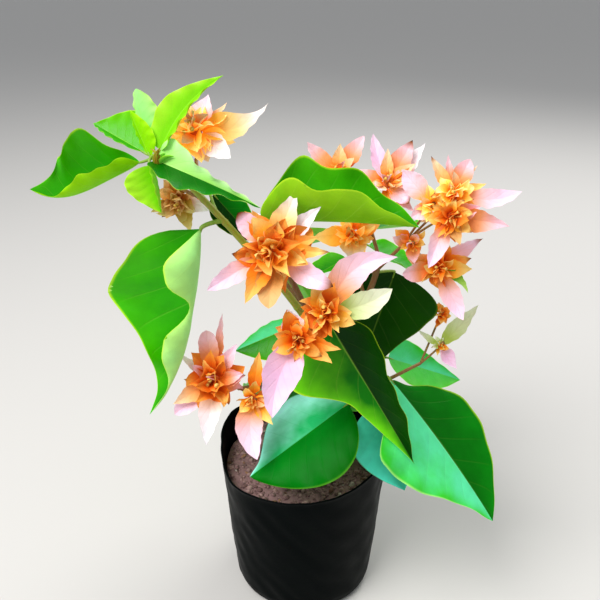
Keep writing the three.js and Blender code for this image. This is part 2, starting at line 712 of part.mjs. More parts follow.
// Joins pieces into one named mesh. A piece that would enter another mesh's room is dropped or cut back.
function place(name, pieces, material) {
  const solids = [];
  const rooms = [];
  for (const { solid, room, mayDrop } of pieces) {
    const box = solid.boundingBox();
    const near = placed.filter((other) => boxesMeet(box, other.box));
    const hits = near.filter((other) => !other.room.intersect(solid).isEmpty());
    if (hits.length > 0 && mayDrop) continue;
    solids.push(hits.reduce((rest, other) => rest.subtract(other.room), solid));
    rooms.push(room);
  }
  const body = largestBody(Manifold.union(solids).simplify(finestEdge));
  const room = Manifold.union(rooms);
  placed.push({ room, box: room.boundingBox() });
  const { vertProperties, triVerts } = body.getMesh();
  const geometry = new THREE.BufferGeometry();
  geometry.setAttribute("position", new THREE.BufferAttribute(new Float32Array(vertProperties), 3));
  geometry.setIndex(new THREE.BufferAttribute(new Uint32Array(triVerts), 1));
  const mesh = new THREE.Mesh(geometry, material);
  mesh.name = name;
  plant.add(mesh);
}

// A body turned about the Z axis from a profile of [radius, height] points that starts and ends on the axis.
// The heights of the profile's topmost points follow the rim round the body.
function turnedSolid(profile, rim) {
  const turned = new THREE.LatheGeometry(profile.map(([r, z]) => new THREE.Vector2(r, z)), bagSides);
  turned.rotateX(Math.PI / 2);
  turned.deleteAttribute("normal");
  turned.deleteAttribute("uv");
  const geometry = mergeVertices(turned, 1e-3);
  const position = geometry.getAttribute("position");
  const top = Math.max(...profile.map(([, z]) => z));
  for (let i = 0; rim && i < position.count; i += 1) {
    if (position.getZ(i) > top - 1e-3) position.setZ(i, rim(Math.atan2(position.getY(i), position.getX(i))));
  }
  return new Manifold(new Mesh({
    numProp: 3,
    vertProperties: position.array,
    triVerts: new Uint32Array(geometry.index.array),
  }));
}

// The bag widens evenly to its rim.
function bagRadius(height) {
  return THREE.MathUtils.lerp(bagFootRadius, bagRimRadius, height / bagHeight);
}

// The rim's height passes smoothly from each of its heights to the next.
function rimHeight(angle) {
  const place = ((angle / (2 * Math.PI) + 1) % 1) * bagRimHeights.length;
  const index = Math.floor(place);
  const next = bagRimHeights[(index + 1) % bagRimHeights.length];
  return THREE.MathUtils.lerp(bagRimHeights[index], next, THREE.MathUtils.smoothstep(place - index, 0, 1));
}

function bagSolid() {
  const inside = (height) => [bagRadius(height) - bagWall, height];
  return turnedSolid([
    [0, 0],
    [bagFootRadius, 0],
    [bagRadius(bagHeight / 2), bagHeight / 2],
    [bagRimRadius, bagHeight],
    inside(bagHeight),
    inside(bagHeight / 2),
    inside(bagWall),
    [0, bagWall],
  ], rimHeight);
}

// The soil fills the bag, clear of its wall, and rises a little from its edge to the stem.
function soilSolid() {
  const edge = (height) => [bagRadius(height) - bagWall - 2 * gap, height];
  return turnedSolid([
    [0, bagWall + gap],
    edge(bagWall + gap),
    edge(bagHeight / 2),
    edge(soilHeight - soilEdgeDrop),
    [soilFlatRadius, soilHeight],
    [0, soilHeight],
  ]);
}

place("nursery_bag", [{ solid: bagSolid(), room: bagSolid() }], materials.bag);
place("potting_soil", [{ solid: soilSolid(), room: soilSolid() }], materials.soil);

for (const [name, limb] of Object.entries(limbs)) {
  place(name, [piece((extra) => limbRod(limb, extra))], limb.young ? materials.shoot : materials.wood);
}

for (const [name, mass] of Object.entries(masses)) {
  place(name, massPieces(mass), mass.heads ? materials.blossom : materials.leaf);
}

export default plant;
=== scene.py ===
# Young double bougainvillea in a black nursery bag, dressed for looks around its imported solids.
# Rows are in millimetres and degrees, as the plant's own sizes are; meshes are made in metres.
import math

import bpy
import numpy as np
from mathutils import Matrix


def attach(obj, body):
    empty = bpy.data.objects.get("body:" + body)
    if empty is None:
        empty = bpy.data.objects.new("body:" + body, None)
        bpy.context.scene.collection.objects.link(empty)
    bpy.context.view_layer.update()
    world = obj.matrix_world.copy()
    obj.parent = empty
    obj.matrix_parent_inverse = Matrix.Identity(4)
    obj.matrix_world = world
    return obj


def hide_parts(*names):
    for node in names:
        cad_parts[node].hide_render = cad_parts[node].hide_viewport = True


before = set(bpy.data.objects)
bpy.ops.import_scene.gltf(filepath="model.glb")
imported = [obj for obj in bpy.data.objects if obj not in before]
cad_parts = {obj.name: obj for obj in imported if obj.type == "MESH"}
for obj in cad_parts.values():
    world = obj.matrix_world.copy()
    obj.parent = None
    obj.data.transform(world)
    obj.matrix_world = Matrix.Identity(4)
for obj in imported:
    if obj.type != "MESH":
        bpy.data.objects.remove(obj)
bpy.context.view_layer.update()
mm = 0.001

# Studio
# A wide pale floor, a bright even sky, one large soft lamp from the upper left and a weaker one
# from behind on the right. The camera looks down on the plant from just above its top, from in
# front, as the photograph does.
scene = bpy.context.scene
scene.view_settings.view_transform = "Standard"
scene.view_settings.look = "None"
scene.view_settings.exposure = 0.0
scene.view_settings.gamma = 1.0

CAMERA_PLACE = (-0.0028, -0.3893, 0.3962)
CAMERA_TILT = 65
CAMERA_LENS = 41.4
FLOOR_HALF = 30.0
FLOOR_DROP = -0.0003
SKY_STRENGTH = 0.5
LAMP_TARGET = (0.0, 0.0, 0.2)
LAMPS = [("soft_lamp", (-0.7, -0.7, 1.5), 1.1, 30.0), ("rear_lamp", (0.8, 1.0, 1.4), 1.1, 16.0)]


def shade_of(red, green, blue):
    """A colour as painted on a swatch (0 to 255) turned into the light it gives back."""
    parts = []
    for value in (red, green, blue):
        share = value / 255
        parts.append(share / 12.92 if share <= 0.04045 else ((share + 0.055) / 1.055) ** 2.4)
    return (*parts, 1.0)


def feed(tree, node, inputs):
    """Values or links for a node's inputs, by their names or numbers."""
    for key, value in inputs.items():
        if isinstance(value, bpy.types.NodeSocket):
            tree.links.new(value, node.inputs[key])
        else:
            node.inputs[key].default_value = value


def put(tree, kind, inputs=None, **settings):
    """A shader node with its settings, and values or links for its inputs."""
    made = tree.nodes.new("ShaderNode" + kind)
    for key, value in settings.items():
        setattr(made, key, value)
    feed(tree, made, inputs or {})
    return made


def sums(tree, operation, *values, clamp=False):
    """One Math node, by the name of its operation."""
    return put(tree, "Math", dict(enumerate(values)), operation=operation, use_clamp=clamp).outputs[0]


def spread(tree, value, low, high, first=0.0, last=1.0, kind="LINEAR"):
    """A value that runs from low to high turned into one from first to last."""
    ends = {"Value": value, "From Min": low, "From Max": high, "To Min": first, "To Max": last}
    return put(tree, "MapRange", ends, interpolation_type=kind).outputs[0]


def blend_colours(tree, share, first, second, mode="MIX"):
    """Two colours mixed by a share from 0 to 1."""
    parts = {0: share, 6: first, 7: second}
    return put(tree, "Mix", parts, data_type="RGBA", blend_type=mode).outputs[2]


def grain(tree, scale, detail, roughness=0.5, **vector):
    """Clouds or grains of noise, over the piece's own box unless a Vector is given."""
    knobs = {"Scale": scale, "Detail": detail, "Roughness": roughness, **vector}
    return put(tree, "TexNoise", knobs).outputs[0]


def new_surface(name, roughness):
    """A material with one plain shader, ready for its own nodes."""
    surface = bpy.data.materials.new(name)
    surface.use_nodes = True
    tree = surface.node_tree
    shader = tree.nodes["Principled BSDF"]
    shader.inputs["Roughness"].default_value = roughness
    return surface, tree, shader


floor_mesh = bpy.data.meshes.new("studio_floor")
corners = ((-1, -1), (1, -1), (1, 1), (-1, 1))
spots = [(x * FLOOR_HALF, y * FLOOR_HALF, FLOOR_DROP) for x, y in corners]
floor_mesh.from_pydata(spots, [], [(0, 1, 2, 3)])
floor = bpy.data.objects.new("studio_floor", floor_mesh)
floor_surface, tree, shader = new_surface("pale_floor", 0.8)
feed(tree, shader, {"Base Color": shade_of(206, 203, 198)})
floor_mesh.materials.append(floor_surface)
scene.collection.objects.link(floor)

sky = bpy.data.worlds.new("soft_sky")
sky.use_nodes = True
daylight = {"Color": shade_of(236, 240, 246), "Strength": SKY_STRENGTH}
feed(sky.node_tree, sky.node_tree.nodes["Background"], daylight)
scene.world = sky

for name, place, size, power in LAMPS:
    lamp = bpy.data.lights.new(name, "AREA")
    lamp.shape = "DISK"
    lamp.size = size
    lamp.energy = power
    hung = bpy.data.objects.new(name, lamp)
    hung.location = place
    aim = np.array(LAMP_TARGET) - np.array(place)
    tilt = math.atan2(math.hypot(aim[0], aim[1]), -aim[2])
    hung.rotation_euler = (tilt, 0.0, math.atan2(aim[0], -aim[1]) + math.pi)
    scene.collection.objects.link(hung)

camera = bpy.data.cameras.new("photo_camera")
camera.lens = CAMERA_LENS
camera.sensor_width = 36
eye = bpy.data.objects.new("photo_camera", camera)
eye.location = CAMERA_PLACE
eye.rotation_euler = (math.radians(CAMERA_TILT), 0, 0)
scene.collection.objects.link(eye)
scene.camera = eye

# Nursery bag
# A thin black polythene bag, blown as a tube and sealed flat below. It widens to its open top,
# bulges softly over the packed soil, and its rim is left soft, wavy and a little rolled.
BAG_FOOT_RADIUS = 49
BAG_RIM_RADIUS = 57.5
BAG_RIM_HEIGHTS = [112, 108, 107, 108, 111, 113, 106, 100, 100, 102, 107, 113]
BAG_HEIGHT = 106
BAG_FILM = 0.9
BAG_FOOT_BEND = 5
BAG_FLOOR = 5.35
BAG_FLAT_SHARES = (0.02, 0.3, 0.6, 0.85)
BAG_ROLL = ((0.35, -0.5), (0.7, 0.0), (0.55, 0.45), (0.1, 0.65), (-0.5, 0.45), (-BAG_FILM, -0.1))
BAG_ROUND = 180
BAG_OUTER_RINGS = 44
BAG_INNER_RINGS = 26


def soft_noise(x, y, z=0.0, seed=0.0):
    """Soft uneven swell between about -1 and 1, the same on every run."""
    swell = np.sin(1.7 * x + 2.3 * y + 0.9 * z + seed)
    swell = swell + 0.7 * np.sin(2.9 * x - 1.3 * y + 3.1 * z + 1.7 * seed + 1.0 + 0.8 * np.sin(1.1 * y + x))
    swell = swell + 0.5 * np.sin(-1.9 * x + 4.3 * y - 2.3 * z + 2.9 * seed + 2.0)
    swell = swell + 0.35 * np.sin(5.3 * x + 3.7 * y + 4.1 * z + 0.6 * seed + 4.0)
    return swell / 2.1


def rim_height(angle):
    """Height of the bag's soft rim, passing smoothly from each measured height to the next."""
    place = (angle / (2 * math.pi)) % 1 * len(BAG_RIM_HEIGHTS)
    index = np.floor(place).astype(int) % len(BAG_RIM_HEIGHTS)
    heights = np.array(BAG_RIM_HEIGHTS, float)
    share = place - np.floor(place)
    share = share * share * (3 - 2 * share)
    return heights[index] * (1 - share) + heights[(index + 1) % len(heights)] * share


def ring_points(angle, radius, height):
    """One ring of points round the bag's middle."""
    return np.stack([radius * np.cos(angle), radius * np.sin(angle), height + 0 * angle], axis=1)


def ring_faces(rings, count):
    """Four-sided faces from each ring of points to the next, and a lid over both end rings."""
    i, j = np.meshgrid(np.arange(rings - 1), np.arange(count), indexing="ij")
    k = (j + 1) % count
    corners = [i * count + j, i * count + k, (i + 1) * count + k, (i + 1) * count + j]
    lids = [list(range(count))[::-1], list(range((rings - 1) * count, rings * count))]
    return np.stack([c.ravel() for c in corners], axis=1).tolist() + lids


def add_piece(name, points, faces, surfaces, slot, replaced=(), numbers=None, maps=None, crisp=None):
    """One mesh in metres from points in millimetres, riding with the plant."""
    mesh = bpy.data.meshes.new(name)
    mesh.from_pydata((np.asarray(points) * mm).tolist(), [], faces)
    for surface in surfaces:
        mesh.materials.append(surface)
    if numbers is not None:
        mesh.polygons.foreach_set("material_index", np.asarray(numbers, np.int32))
    mesh.polygons.foreach_set("use_smooth", np.ones(len(mesh.polygons), bool))
    for title, corners in (maps or {}).items():
        layer = mesh.uv_layers.new(name=title)
        layer.data.foreach_set("uv", np.asarray(corners, np.float32).ravel())
    if crisp is not None:
        ends = np.zeros(len(mesh.edges) * 2, np.int32)
        mesh.edges.foreach_get("vertices", ends)
        flags = np.asarray(crisp, bool)[ends.reshape(-1, 2)].all(axis=1)
        mesh.attributes.new("sharp_edge", "BOOLEAN", "EDGE").data.foreach_set("value", flags)
    mesh.update()
    made = bpy.data.objects.new(name, mesh)
    scene.collection.objects.link(made)
    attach(made, "root")
    if replaced:
        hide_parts(*replaced)


def new_group(title, inputs, outputs):
    """A node group with its sockets, each of a name and a kind, and the nodes at its two ends."""
    group = bpy.data.node_groups.new(title, "ShaderNodeTree")
    for way, sockets in (("INPUT", inputs), ("OUTPUT", outputs)):
        for name, kind in sockets.items():
            group.interface.new_socket(name=name, in_out=way, socket_type="NodeSocket" + kind)
    return group, group.nodes.new("NodeGroupInput").outputs, group.nodes.new("NodeGroupOutput")


def mottle_group():
    """Colour that drifts a little darker and lighter over a surface, and the swell behind it."""
    knobs = {"Colour": "Color", "Amount": "Float", "Grain": "Float"}
    group, ins, outs = new_group("mottle", knobs, {"Colour": "Color", "Swell": "Float"})
    where = put(group, "TexCoord").outputs["Object"]
    swell = grain(group, ins["Grain"], 4.0, 0.6, Vector=where)
    change = sums(group, "MULTIPLY", sums(group, "SUBTRACT", swell, 0.5), ins["Amount"])
    value = sums(group, "ADD", change, 1.0)
    tint = put(group, "CombineColor", {0: value, 1: value, 2: value}).outputs[0]
    mixed = blend_colours(group, 1.0, ins["Colour"], tint, "MULTIPLY")
    feed(group, outs, {"Colour": mixed, "Swell": swell})
    return group


MOTTLE = mottle_group()


def mottled(tree, colour, amount, size):
    """The mottle group placed in one material, with its Colour and its Swell."""
    return put(tree, "Group", {"Colour": colour, "Amount": amount, "Grain": size}, node_tree=MOTTLE).outputs


def bumped(tree, height, strength, distance):
    """A normal that follows a height."""
    return put(tree, "Bump", {"Strength": strength, "Distance": distance, "Height": height}).outputs[0]


def bag_mesh():
    """Outer wall from the middle of the foot up, over the rolled rim, and down the inside."""
    angle = np.arange(BAG_ROUND) * 2 * math.pi / BAG_ROUND
    rim = rim_height(angle)

    def wall(share):
        """Radius of the wall at a share of the height, with its soft folds."""
        height = share * rim
        folds = 0.55 * soft_noise(2.2 * np.cos(angle), 2.2 * np.sin(angle), height / 34, 1.3)
        pleats = 0.45 * np.sin(9 * angle + 1.6 * np.sin(2 * angle + height / 40)) * share**1.5
        creases = 0.35 * soft_noise(6 * np.cos(angle), 6 * np.sin(angle), height / 9, 4.1)
        lip = 0.8 * np.sin(5 * angle + 0.6) * np.clip((share - 0.86) / 0.14, 0, 1) ** 2
        straight = BAG_FOOT_RADIUS + (BAG_RIM_RADIUS - BAG_FOOT_RADIUS) * share
        return straight + folds + pleats + creases + lip

    flat = BAG_FOOT_RADIUS - BAG_FOOT_BEND
    seam = wall(0.05) * 0.35 + 0.65 * BAG_FOOT_RADIUS - 0.5
    profile = [(share * flat, 0.0) for share in BAG_FLAT_SHARES]
    for turn in np.linspace(0, math.pi / 2, 6):
        profile.append((seam + BAG_FOOT_BEND * (math.sin(turn) - 1), BAG_FOOT_BEND * (1 - math.cos(turn))))
    profile += [(wall(share), share * rim) for share in np.linspace(0.07, 0.985, BAG_OUTER_RINGS)]
    profile += [(wall(1.0) + out, rim + up) for out, up in BAG_ROLL]
    inside = np.linspace(0.985, 0.05, BAG_INNER_RINGS)
    profile += [(wall(share) - BAG_FILM, share * rim) for share in inside]
    profile += [(share * flat, BAG_FLOOR) for share in BAG_FLAT_SHARES[::-1]]
    rings = [ring_points(angle, radius, height) for radius, height in profile]
    return np.concatenate(rings), ring_faces(len(rings), BAG_ROUND)


bag_film, tree, shader = new_surface("black_polythene", 0.4)
film = mottled(tree, shade_of(3, 7, 7), 0.5, 40.0)
dusting = spread(tree, grain(tree, 160.0, 6.0, 0.7), 0.52, 0.78, 0.0, 0.03)
feed(tree, shader, {
    "Specular IOR Level": 0.03,
    "Base Color": blend_colours(tree, dusting, film["Colour"], shade_of(92, 84, 76)),
    "Roughness": spread(tree, film["Swell"], 0.3, 0.7, 0.34, 0.5),
    "Normal": bumped(tree, film["Swell"], 0.35, 0.0012),
})
add_piece("bag_shell", *bag_mesh(), [bag_film], "bag", ["nursery_bag"])

# Potting soil
# Damp brown potting soil that fills the bag and rises a little to the stem. Its top is lumpy,
# with loose crumbs and a few chips of bark and grit lying on it.
SOIL_HEIGHT = 94
SOIL_EDGE_DROP = 2
SOIL_FLAT_RADIUS = 28
SOIL_EDGE_GAP = 1.9
SOIL_SIDE = ((88.0, 53.2), (60.0, 50.6), (20.0, 47.4), (6.2, 44.0), (6.2, 0.5))
SOIL_ROUND = 200
SOIL_RINGS = 74
STEM_FOOT = (3, 4)
BARE_RADIUS = 10
BARE_EDGE = 1.5
# A row holds a count, a seed, the least and most size, how far it is stretched, and its skins.
LOOSE_BITS = {
    "soil_crumbs": (1500, 5, (0.5, 2.1), 1.0, [("brown_crumb", (142, 110, 107), 0.95),
                    ("dark_crumb", (118, 88, 84), 0.95), ("pale_crumb", (162, 130, 124), 0.95)]),
    "soil_chips": (90, 9, (0.6, 2.0), 1.9, [("bark_chip", (112, 76, 58), 0.85),
                   ("grit_grain", (176, 164, 150), 0.8), ("dry_fibre", (150, 112, 80), 0.9)]),
}
soil_rise = (SOIL_HEIGHT - SOIL_EDGE_DROP) / BAG_HEIGHT
soil_edge = BAG_FOOT_RADIUS + (BAG_RIM_RADIUS - BAG_FOOT_RADIUS) * soil_rise - BAG_FILM - SOIL_EDGE_GAP


def seeded_random(seed):
    """A fixed run of numbers from 0 to 1 for each seed."""
    state = seed
    while True:
        state = (state * 1664525 + 1013904223) & 0xFFFFFFFF
        yield state / 4294967296


def soil_top(x, y):
    """Height of the soil: level round the stem, lower at the wall, with lumps and hollows."""
    slope = np.clip((np.hypot(x, y) - SOIL_FLAT_RADIUS) / (soil_edge - SOIL_FLAT_RADIUS), 0, 1)
    lumps = 0.9 * soft_noise(x / 9, y / 9, 0.0, 0.5)
    lumps = lumps + 0.45 * soft_noise(x / 3.1, y / 3.1, 0.0, 2.5)
    lumps = lumps + 0.22 * soft_noise(x / 1.2, y / 1.2, 0.0, 5.5)
    quiet = np.clip(np.hypot(x - STEM_FOOT[0], y - STEM_FOOT[1]) / 16 - 0.4, 0, 1)
    return SOIL_HEIGHT - SOIL_EDGE_DROP * slope + (lumps + 0.2) * (0.3 + 0.7 * quiet) - 0.3


def drifting_skin(name, colour, roughness, amount, size, strength=0.0, depth=0.0):
    """A material of one drifting colour, with or without small bumps."""
    surface, tree, shader = new_surface(name, roughness)
    drift = mottled(tree, shade_of(*colour), amount, size)
    feed(tree, shader, {"Base Color": drift["Colour"]})
    if strength:
        feed(tree, shader, {"Normal": bumped(tree, drift["Swell"], strength, depth)})
    return surface


def joined(parts):
    """Several meshes, each of points and faces, as one."""
    points, faces, count = [], [], 0
    for made, corners in parts:
        points.append(made)
        faces += [[k + count for k in face] for face in corners]
        count += len(made)
    return np.concatenate(points), faces


angle = np.arange(SOIL_ROUND) * 2 * math.pi / SOIL_ROUND
rings = []
for share in np.linspace(0.01, 1, SOIL_RINGS):
    x, y = share * soil_edge * np.cos(angle), share * soil_edge * np.sin(angle)
    rings.append(np.stack([x, y, soil_top(x, y)], axis=1))
rings += [ring_points(angle, radius, height) for height, radius in SOIL_SIDE]
faces = [face[::-1] for face in ring_faces(len(rings), SOIL_ROUND)]
soil_body = drifting_skin("damp_soil", (138, 106, 104), 0.93, 0.7, 260.0, 0.6, 0.0008)
add_piece("soil_fill", np.concatenate(rings), faces, [soil_body], "soil", ["potting_soil"])

LUMP_POINTS = np.array(
    [(0, 0, 1), (0.89, 0, 0.45), (0.28, 0.85, 0.45), (-0.72, 0.53, 0.45), (-0.72, -0.53, 0.45),
     (0.28, -0.85, 0.45), (0.72, 0.53, -0.45), (-0.28, 0.85, -0.45), (-0.89, 0, -0.45),
     (-0.28, -0.85, -0.45), (0.72, -0.53, -0.45), (0, 0, -1)], float,
)
LUMP_FACES = [
    (0, 1, 2), (0, 2, 3), (0, 3, 4), (0, 4, 5), (0, 5, 1), (1, 6, 2), (2, 7, 3), (3, 8, 4), (4, 9, 5),
    (5, 10, 1), (6, 7, 2), (7, 8, 3), (8, 9, 4), (9, 10, 5), (10, 6, 1), (11, 7, 6), (11, 8, 7),
    (11, 9, 8), (11, 10, 9), (11, 6, 10),
]


def scattered_lumps(count, seed, sizes, stretch):
    """Small uneven lumps strewn over the soil, clear of the stem."""
    draw = seeded_random(seed)
    lumps, kinds = [], []
    for _ in range(count):
        radius = (soil_edge - BARE_EDGE) * math.sqrt(next(draw))
        turn = 2 * math.pi * next(draw)
        x, y = radius * math.cos(turn), radius * math.sin(turn)
        size = sizes[0] + (sizes[1] - sizes[0]) * next(draw) ** 2.2
        dents = np.array([0.7 + 0.6 * next(draw) for _ in LUMP_POINTS])[:, None]
        spin = 2 * math.pi * next(draw)
        lump = LUMP_POINTS * dents * size * np.array([stretch, 1.0, 0.62])
        tilt = 0.8 * (next(draw) - 0.5)
        kind = next(draw)
        if math.hypot(x - STEM_FOOT[0], y - STEM_FOOT[1]) < BARE_RADIUS + size:
            continue
        turned = lump.copy()
        turned[:, 0] = lump[:, 0] * math.cos(spin) - lump[:, 1] * math.sin(spin)
        turned[:, 1] = lump[:, 0] * math.sin(spin) + lump[:, 1] * math.cos(spin)
        turned[:, 2] = lump[:, 2] + tilt * lump[:, 0]
        lumps.append((turned + np.array([x, y, float(soil_top(x, y)) + 0.25 * size]), LUMP_FACES))
        kinds += [int(kind * 3)] * len(LUMP_FACES)
    return *joined(lumps), kinds


for name, (count, seed, sizes, stretch, skins) in LOOSE_BITS.items():
    points, faces, kinds = scattered_lumps(count, seed, sizes, stretch)
    surfaces = [drifting_skin(*skin, 0.7, 500.0, 0.4, 0.0004) for skin in skins]
    add_piece(name, points, faces, surfaces, "soil", (), kinds)

# Stem and boughs
# One woody stem rises from the soil with a small flare at its foot, and eight thin boughs leave
# it. The old wood is brown with fine lengthwise cracks; the long left shoot is still green.
# A row holds a limb's foot, its tip, how it bows at its middle, and its two end radii.
LIMBS = {
    "main_stem": ((3, 4, 94.3), (12, -9, 194), (5, 2, 0), (4.8, 3.2)),
    "left_bough": ((10, -11, 192), (-69, -23, 301), (8, -8, -1), (2.4, 1.7)),
    "centre_bough": ((12, -12, 188), (-13, -37, 256), (4, -8, -4), (2.2, 1.5)),
    "right_bough": ((14, -8, 188), (45, -4, 243), (4, 0, -6), (2.4, 1.7)),
    "low_left_bough": ((9, -2, 151), (-34, -30, 170), (0, 3, -1), (1.8, 1.2)),
    "low_right_bough": ((11, -1, 138), (52, -12, 164), (0, 0, -6), (1.9, 1.3)),
    "rear_bough": ((13, -2, 158), (34, 44, 228), (-3, 6, -6), (2.2, 1.4)),
    "rear_left_bough": ((13, -5, 174), (-12, 32, 212), (3, 6, -4), (2.0, 1.3)),
    "low_rear_bough": ((10, 1, 122), (20, 34, 156), (0, 4, -4), (2.0, 1.3)),
}
MAIN_LIMB = "main_stem"
YOUNG_LIMB = "left_bough"
STEM_FLARE = 3.4
FLARE_REACH = 0.12
SCAR_SPACING = 17
LIMB_STEP = 0.9
STEM_SIDES = 28
BOUGH_SIDES = 18
STALK_SIDES = 10
degree = math.pi / 180


def unit(vectors):
    """Vectors, one or a row of them, each brought to a length of 1."""
    return vectors / np.linalg.norm(vectors, axis=-1, keepdims=True)


def point_on_limb(name, t):
    """A limb runs straight from foot to tip, bowed to one side at its middle."""
    start, end, bow = (np.array(place, float) for place in LIMBS[name][:3])
    t = np.asarray(t, float)[..., None]
    return start + (end - start) * t + bow * 4 * t * (1 - t)


def tube(points, radii, sides, relief=None):
    """Rings round a line of points, closed at both ends; relief adds to the radius at (length, angle)."""
    points = np.asarray(points, float)
    tangents = unit(np.gradient(points, axis=0))
    steps = np.linalg.norm(np.diff(points, axis=0), axis=1)
    run = np.concatenate([[0], np.cumsum(steps)])
    turn = np.arange(sides) * 2 * math.pi / sides
    normal = np.array([0.0, 1.0, 0.0]) if abs(tangents[0][0]) > 0.9 else np.array([1.0, 0.0, 0.0])
    rings = []
    for point, tangent, radius, length in zip(points, tangents, radii, run):
        normal = unit(normal - tangent * (normal @ tangent))
        other = np.cross(tangent, normal)
        wide = radius + (relief(length, turn) if relief else 0.0) + 0 * turn
        outward = np.cos(turn)[:, None] * normal + np.sin(turn)[:, None] * other
        rings.append(point + wide[:, None] * outward)
    return np.concatenate(rings), ring_faces(len(rings), sides)


def limb_mesh(name, seed):
    """A limb with swollen nodes, and cracked bark or a smooth green skin."""
    start, end, _, (thick, thin) = LIMBS[name]
    main = name == MAIN_LIMB
    length = float(np.linalg.norm(np.array(end, float) - np.array(start, float)))
    t = np.linspace(0, 1, max(24, int(length / LIMB_STEP)))
    flare = (STEM_FLARE if main else 0) * np.clip(1 - t / FLARE_REACH, 0, None) ** 2
    depth = 0.28 if main else 0.12

    def relief(run, turn):
        node = (run + 5 * seed) % SCAR_SPACING - SCAR_SPACING / 2
        scar = np.exp(-((node / (1.5 if main else 1.1)) ** 2))
        side = 0.5 + 0.5 * np.cos(turn - 2.4 * math.floor((run + 5 * seed) / SCAR_SPACING))
        swollen = (0.16 + 0.42 * side**2) * scar * thin / 1.7
        if name == YOUNG_LIMB:
            return 0.75 * swollen + 0.04 * soft_noise(np.cos(turn) * 3, np.sin(turn) * 3, run / 3, seed)
        ridges = np.abs(np.sin(4.5 * turn + 0.8 * np.sin(run / 7 + seed) + seed))
        flow = soft_noise(np.cos(turn) * 2.4, np.sin(turn) * 2.4, run / 5.5, seed)
        fine = soft_noise(np.cos(turn) * 7, np.sin(turn) * 7, run / 1.7, seed + 3)
        return swollen + depth * (0.55 * flow - 0.6 * (1 - ridges) ** 3 + 0.35 * fine)

    radii = thick + (thin - thick) * t + flare
    return tube(point_on_limb(name, t), radii, STEM_SIDES if main else BOUGH_SIDES, relief)


def bark_surface(name, colour, second, roughness, height):
    """Fine lengthwise streaks over a drifting colour."""
    surface, tree, shader = new_surface(name, roughness)
    where = put(tree, "TexCoord").outputs["Object"]
    stretched = put(tree, "Mapping", {"Vector": where, "Scale": (1.0, 1.0, 0.22)}).outputs[0]
    streaks = grain(tree, 900.0, 5.0, 0.65, Vector=stretched)
    share = spread(tree, streaks, 0.38, 0.66)
    mixed = blend_colours(tree, share, shade_of(*colour), shade_of(*second))
    drift = mottled(tree, mixed, 0.6, 120.0)["Colour"]
    feed(tree, shader, {"Base Color": drift, "Normal": bumped(tree, streaks, 0.5, height)})
    return surface


old_bark = bark_surface("brown_bark", (112, 84, 60), (150, 120, 88), 0.82, 0.0006)
thin_bark = bark_surface("red_brown_bark", (128, 78, 46), (120, 104, 52), 0.62, 0.0003)
green_skin = bark_surface("olive_skin", (138, 160, 34), (166, 146, 48), 0.42, 0.0001)
for number, name in enumerate(LIMBS):
    skin = old_bark if name == MAIN_LIMB else green_skin if name == YOUNG_LIMB else thin_bark
    slot = "shoot" if name == YOUNG_LIMB else "wood"
    add_piece(name + "_bark", *limb_mesh(name, number + 1), [skin], slot, [name])

# Leaves
# Thin green leaves, each a heart-like blade drawn out to a tip, folded up along its midrib and
# waved at its margin. The upper face is glossy and quilted between sunken veins, the lower one
# paler and duller with a raised midrib. Young leaves are folded, old ones are flat and dark.
# Leaves that lie in shadow are painted darker as painted shade, glossy faces carry painted sky
# reflections, each margin carries a painted highlight, and all leaves glow faintly as painted
# light shining through them.
PLAIN_LEAF = {
    "roll": 0, "arch": 0, "hook": 0, "sway": 0, "fold_left": 20, "fold_right": 20, "skew": 0,
    "rise": 0.6, "fall": 1.05, "wave": 0, "waves": 2, "lobes": (0, 0), "crests": (0.3, 0.3),
    "lobe_waves": 2.2, "curl": 0.3, "frill": 0.007, "quilt": 0.12, "rib": 0.4, "bends": (None, None),
    "edges": (1, 1),
}
# Some tones are painted light and shade. The lit tone is a painted sunlit green, the shade and dusk tones
# are painted shade for leaves and halves lying in shadow, and the leafy tone turns to a painted lit lime at
# its margin. The mint and teal tones and the blue tone's pale outer colour are painted reflections of the
# sky on glossy faces, and the blue tone's bluish green is painted shade.
LEAF_TONES = {
    "vivid": ((40, 156, 0), (66, 186, 0)), "lit": ((120, 200, 10), (166, 226, 40)),
    "grass": ((76, 172, 0), (104, 196, 8)), "young": ((158, 230, 96), (200, 246, 170)),
    "green": ((24, 134, 2), (70, 172, 10)), "leafy": ((12, 114, 2), (104, 206, 10)),
    "deep": ((0, 94, 2), (4, 116, 8)), "shade": ((2, 50, 0), (8, 62, 0)),
    "dusk": ((10, 52, 0), (16, 60, 0)), "mint": ((88, 222, 156), (56, 202, 44)),
    "blue": ((46, 160, 128), (82, 222, 194)), "teal": ((34, 176, 98), (164, 255, 236)),
    "wet": ((0, 118, 22), (0, 96, 0)), "meadow": ((60, 190, 62), (92, 206, 60)),
    "under": ((112, 200, 60), (140, 212, 50)), "pale_under": ((160, 228, 134), (176, 234, 120)),
    "yellow_under": ((124, 206, 0), (158, 228, 4)), "olive_under": ((112, 180, 8), (146, 206, 26)),
    "dull_under": ((70, 150, 50), (84, 160, 44)), "bud": ((170, 124, 34), (156, 160, 50)),
}
QUIET_TONES = ("deep", "shade", "dusk", "mint", "blue", "teal", "wet", "meadow")
FAINT_VEIN_TONES = ("wet", "teal")
FAINT_EDGE_TONES = ("dusk", "wet", "teal", "blue")
# Painted light: every leaf glows faintly in its own colour, the lower faces 1.6 times as much, for light
# shining through the thin blades.
LEAF_GLOW = 0.08
LEAF_THICKNESS = 0.45
LEAF_GRID = (44, 12)
LEAF_STEM_RADII = [1.35, 1.2, 1.1]
LEAF_VEINS = 6.5
VEIN_LEAN = 0.34
QUILT_WIDTH = 26
GROOVE_SHARE = 0.12
FRILL_TURNS = 5.3
HOOK_SCALE = 9.48
STALK_SINK = 4
STALK_RADIUS = 0.9


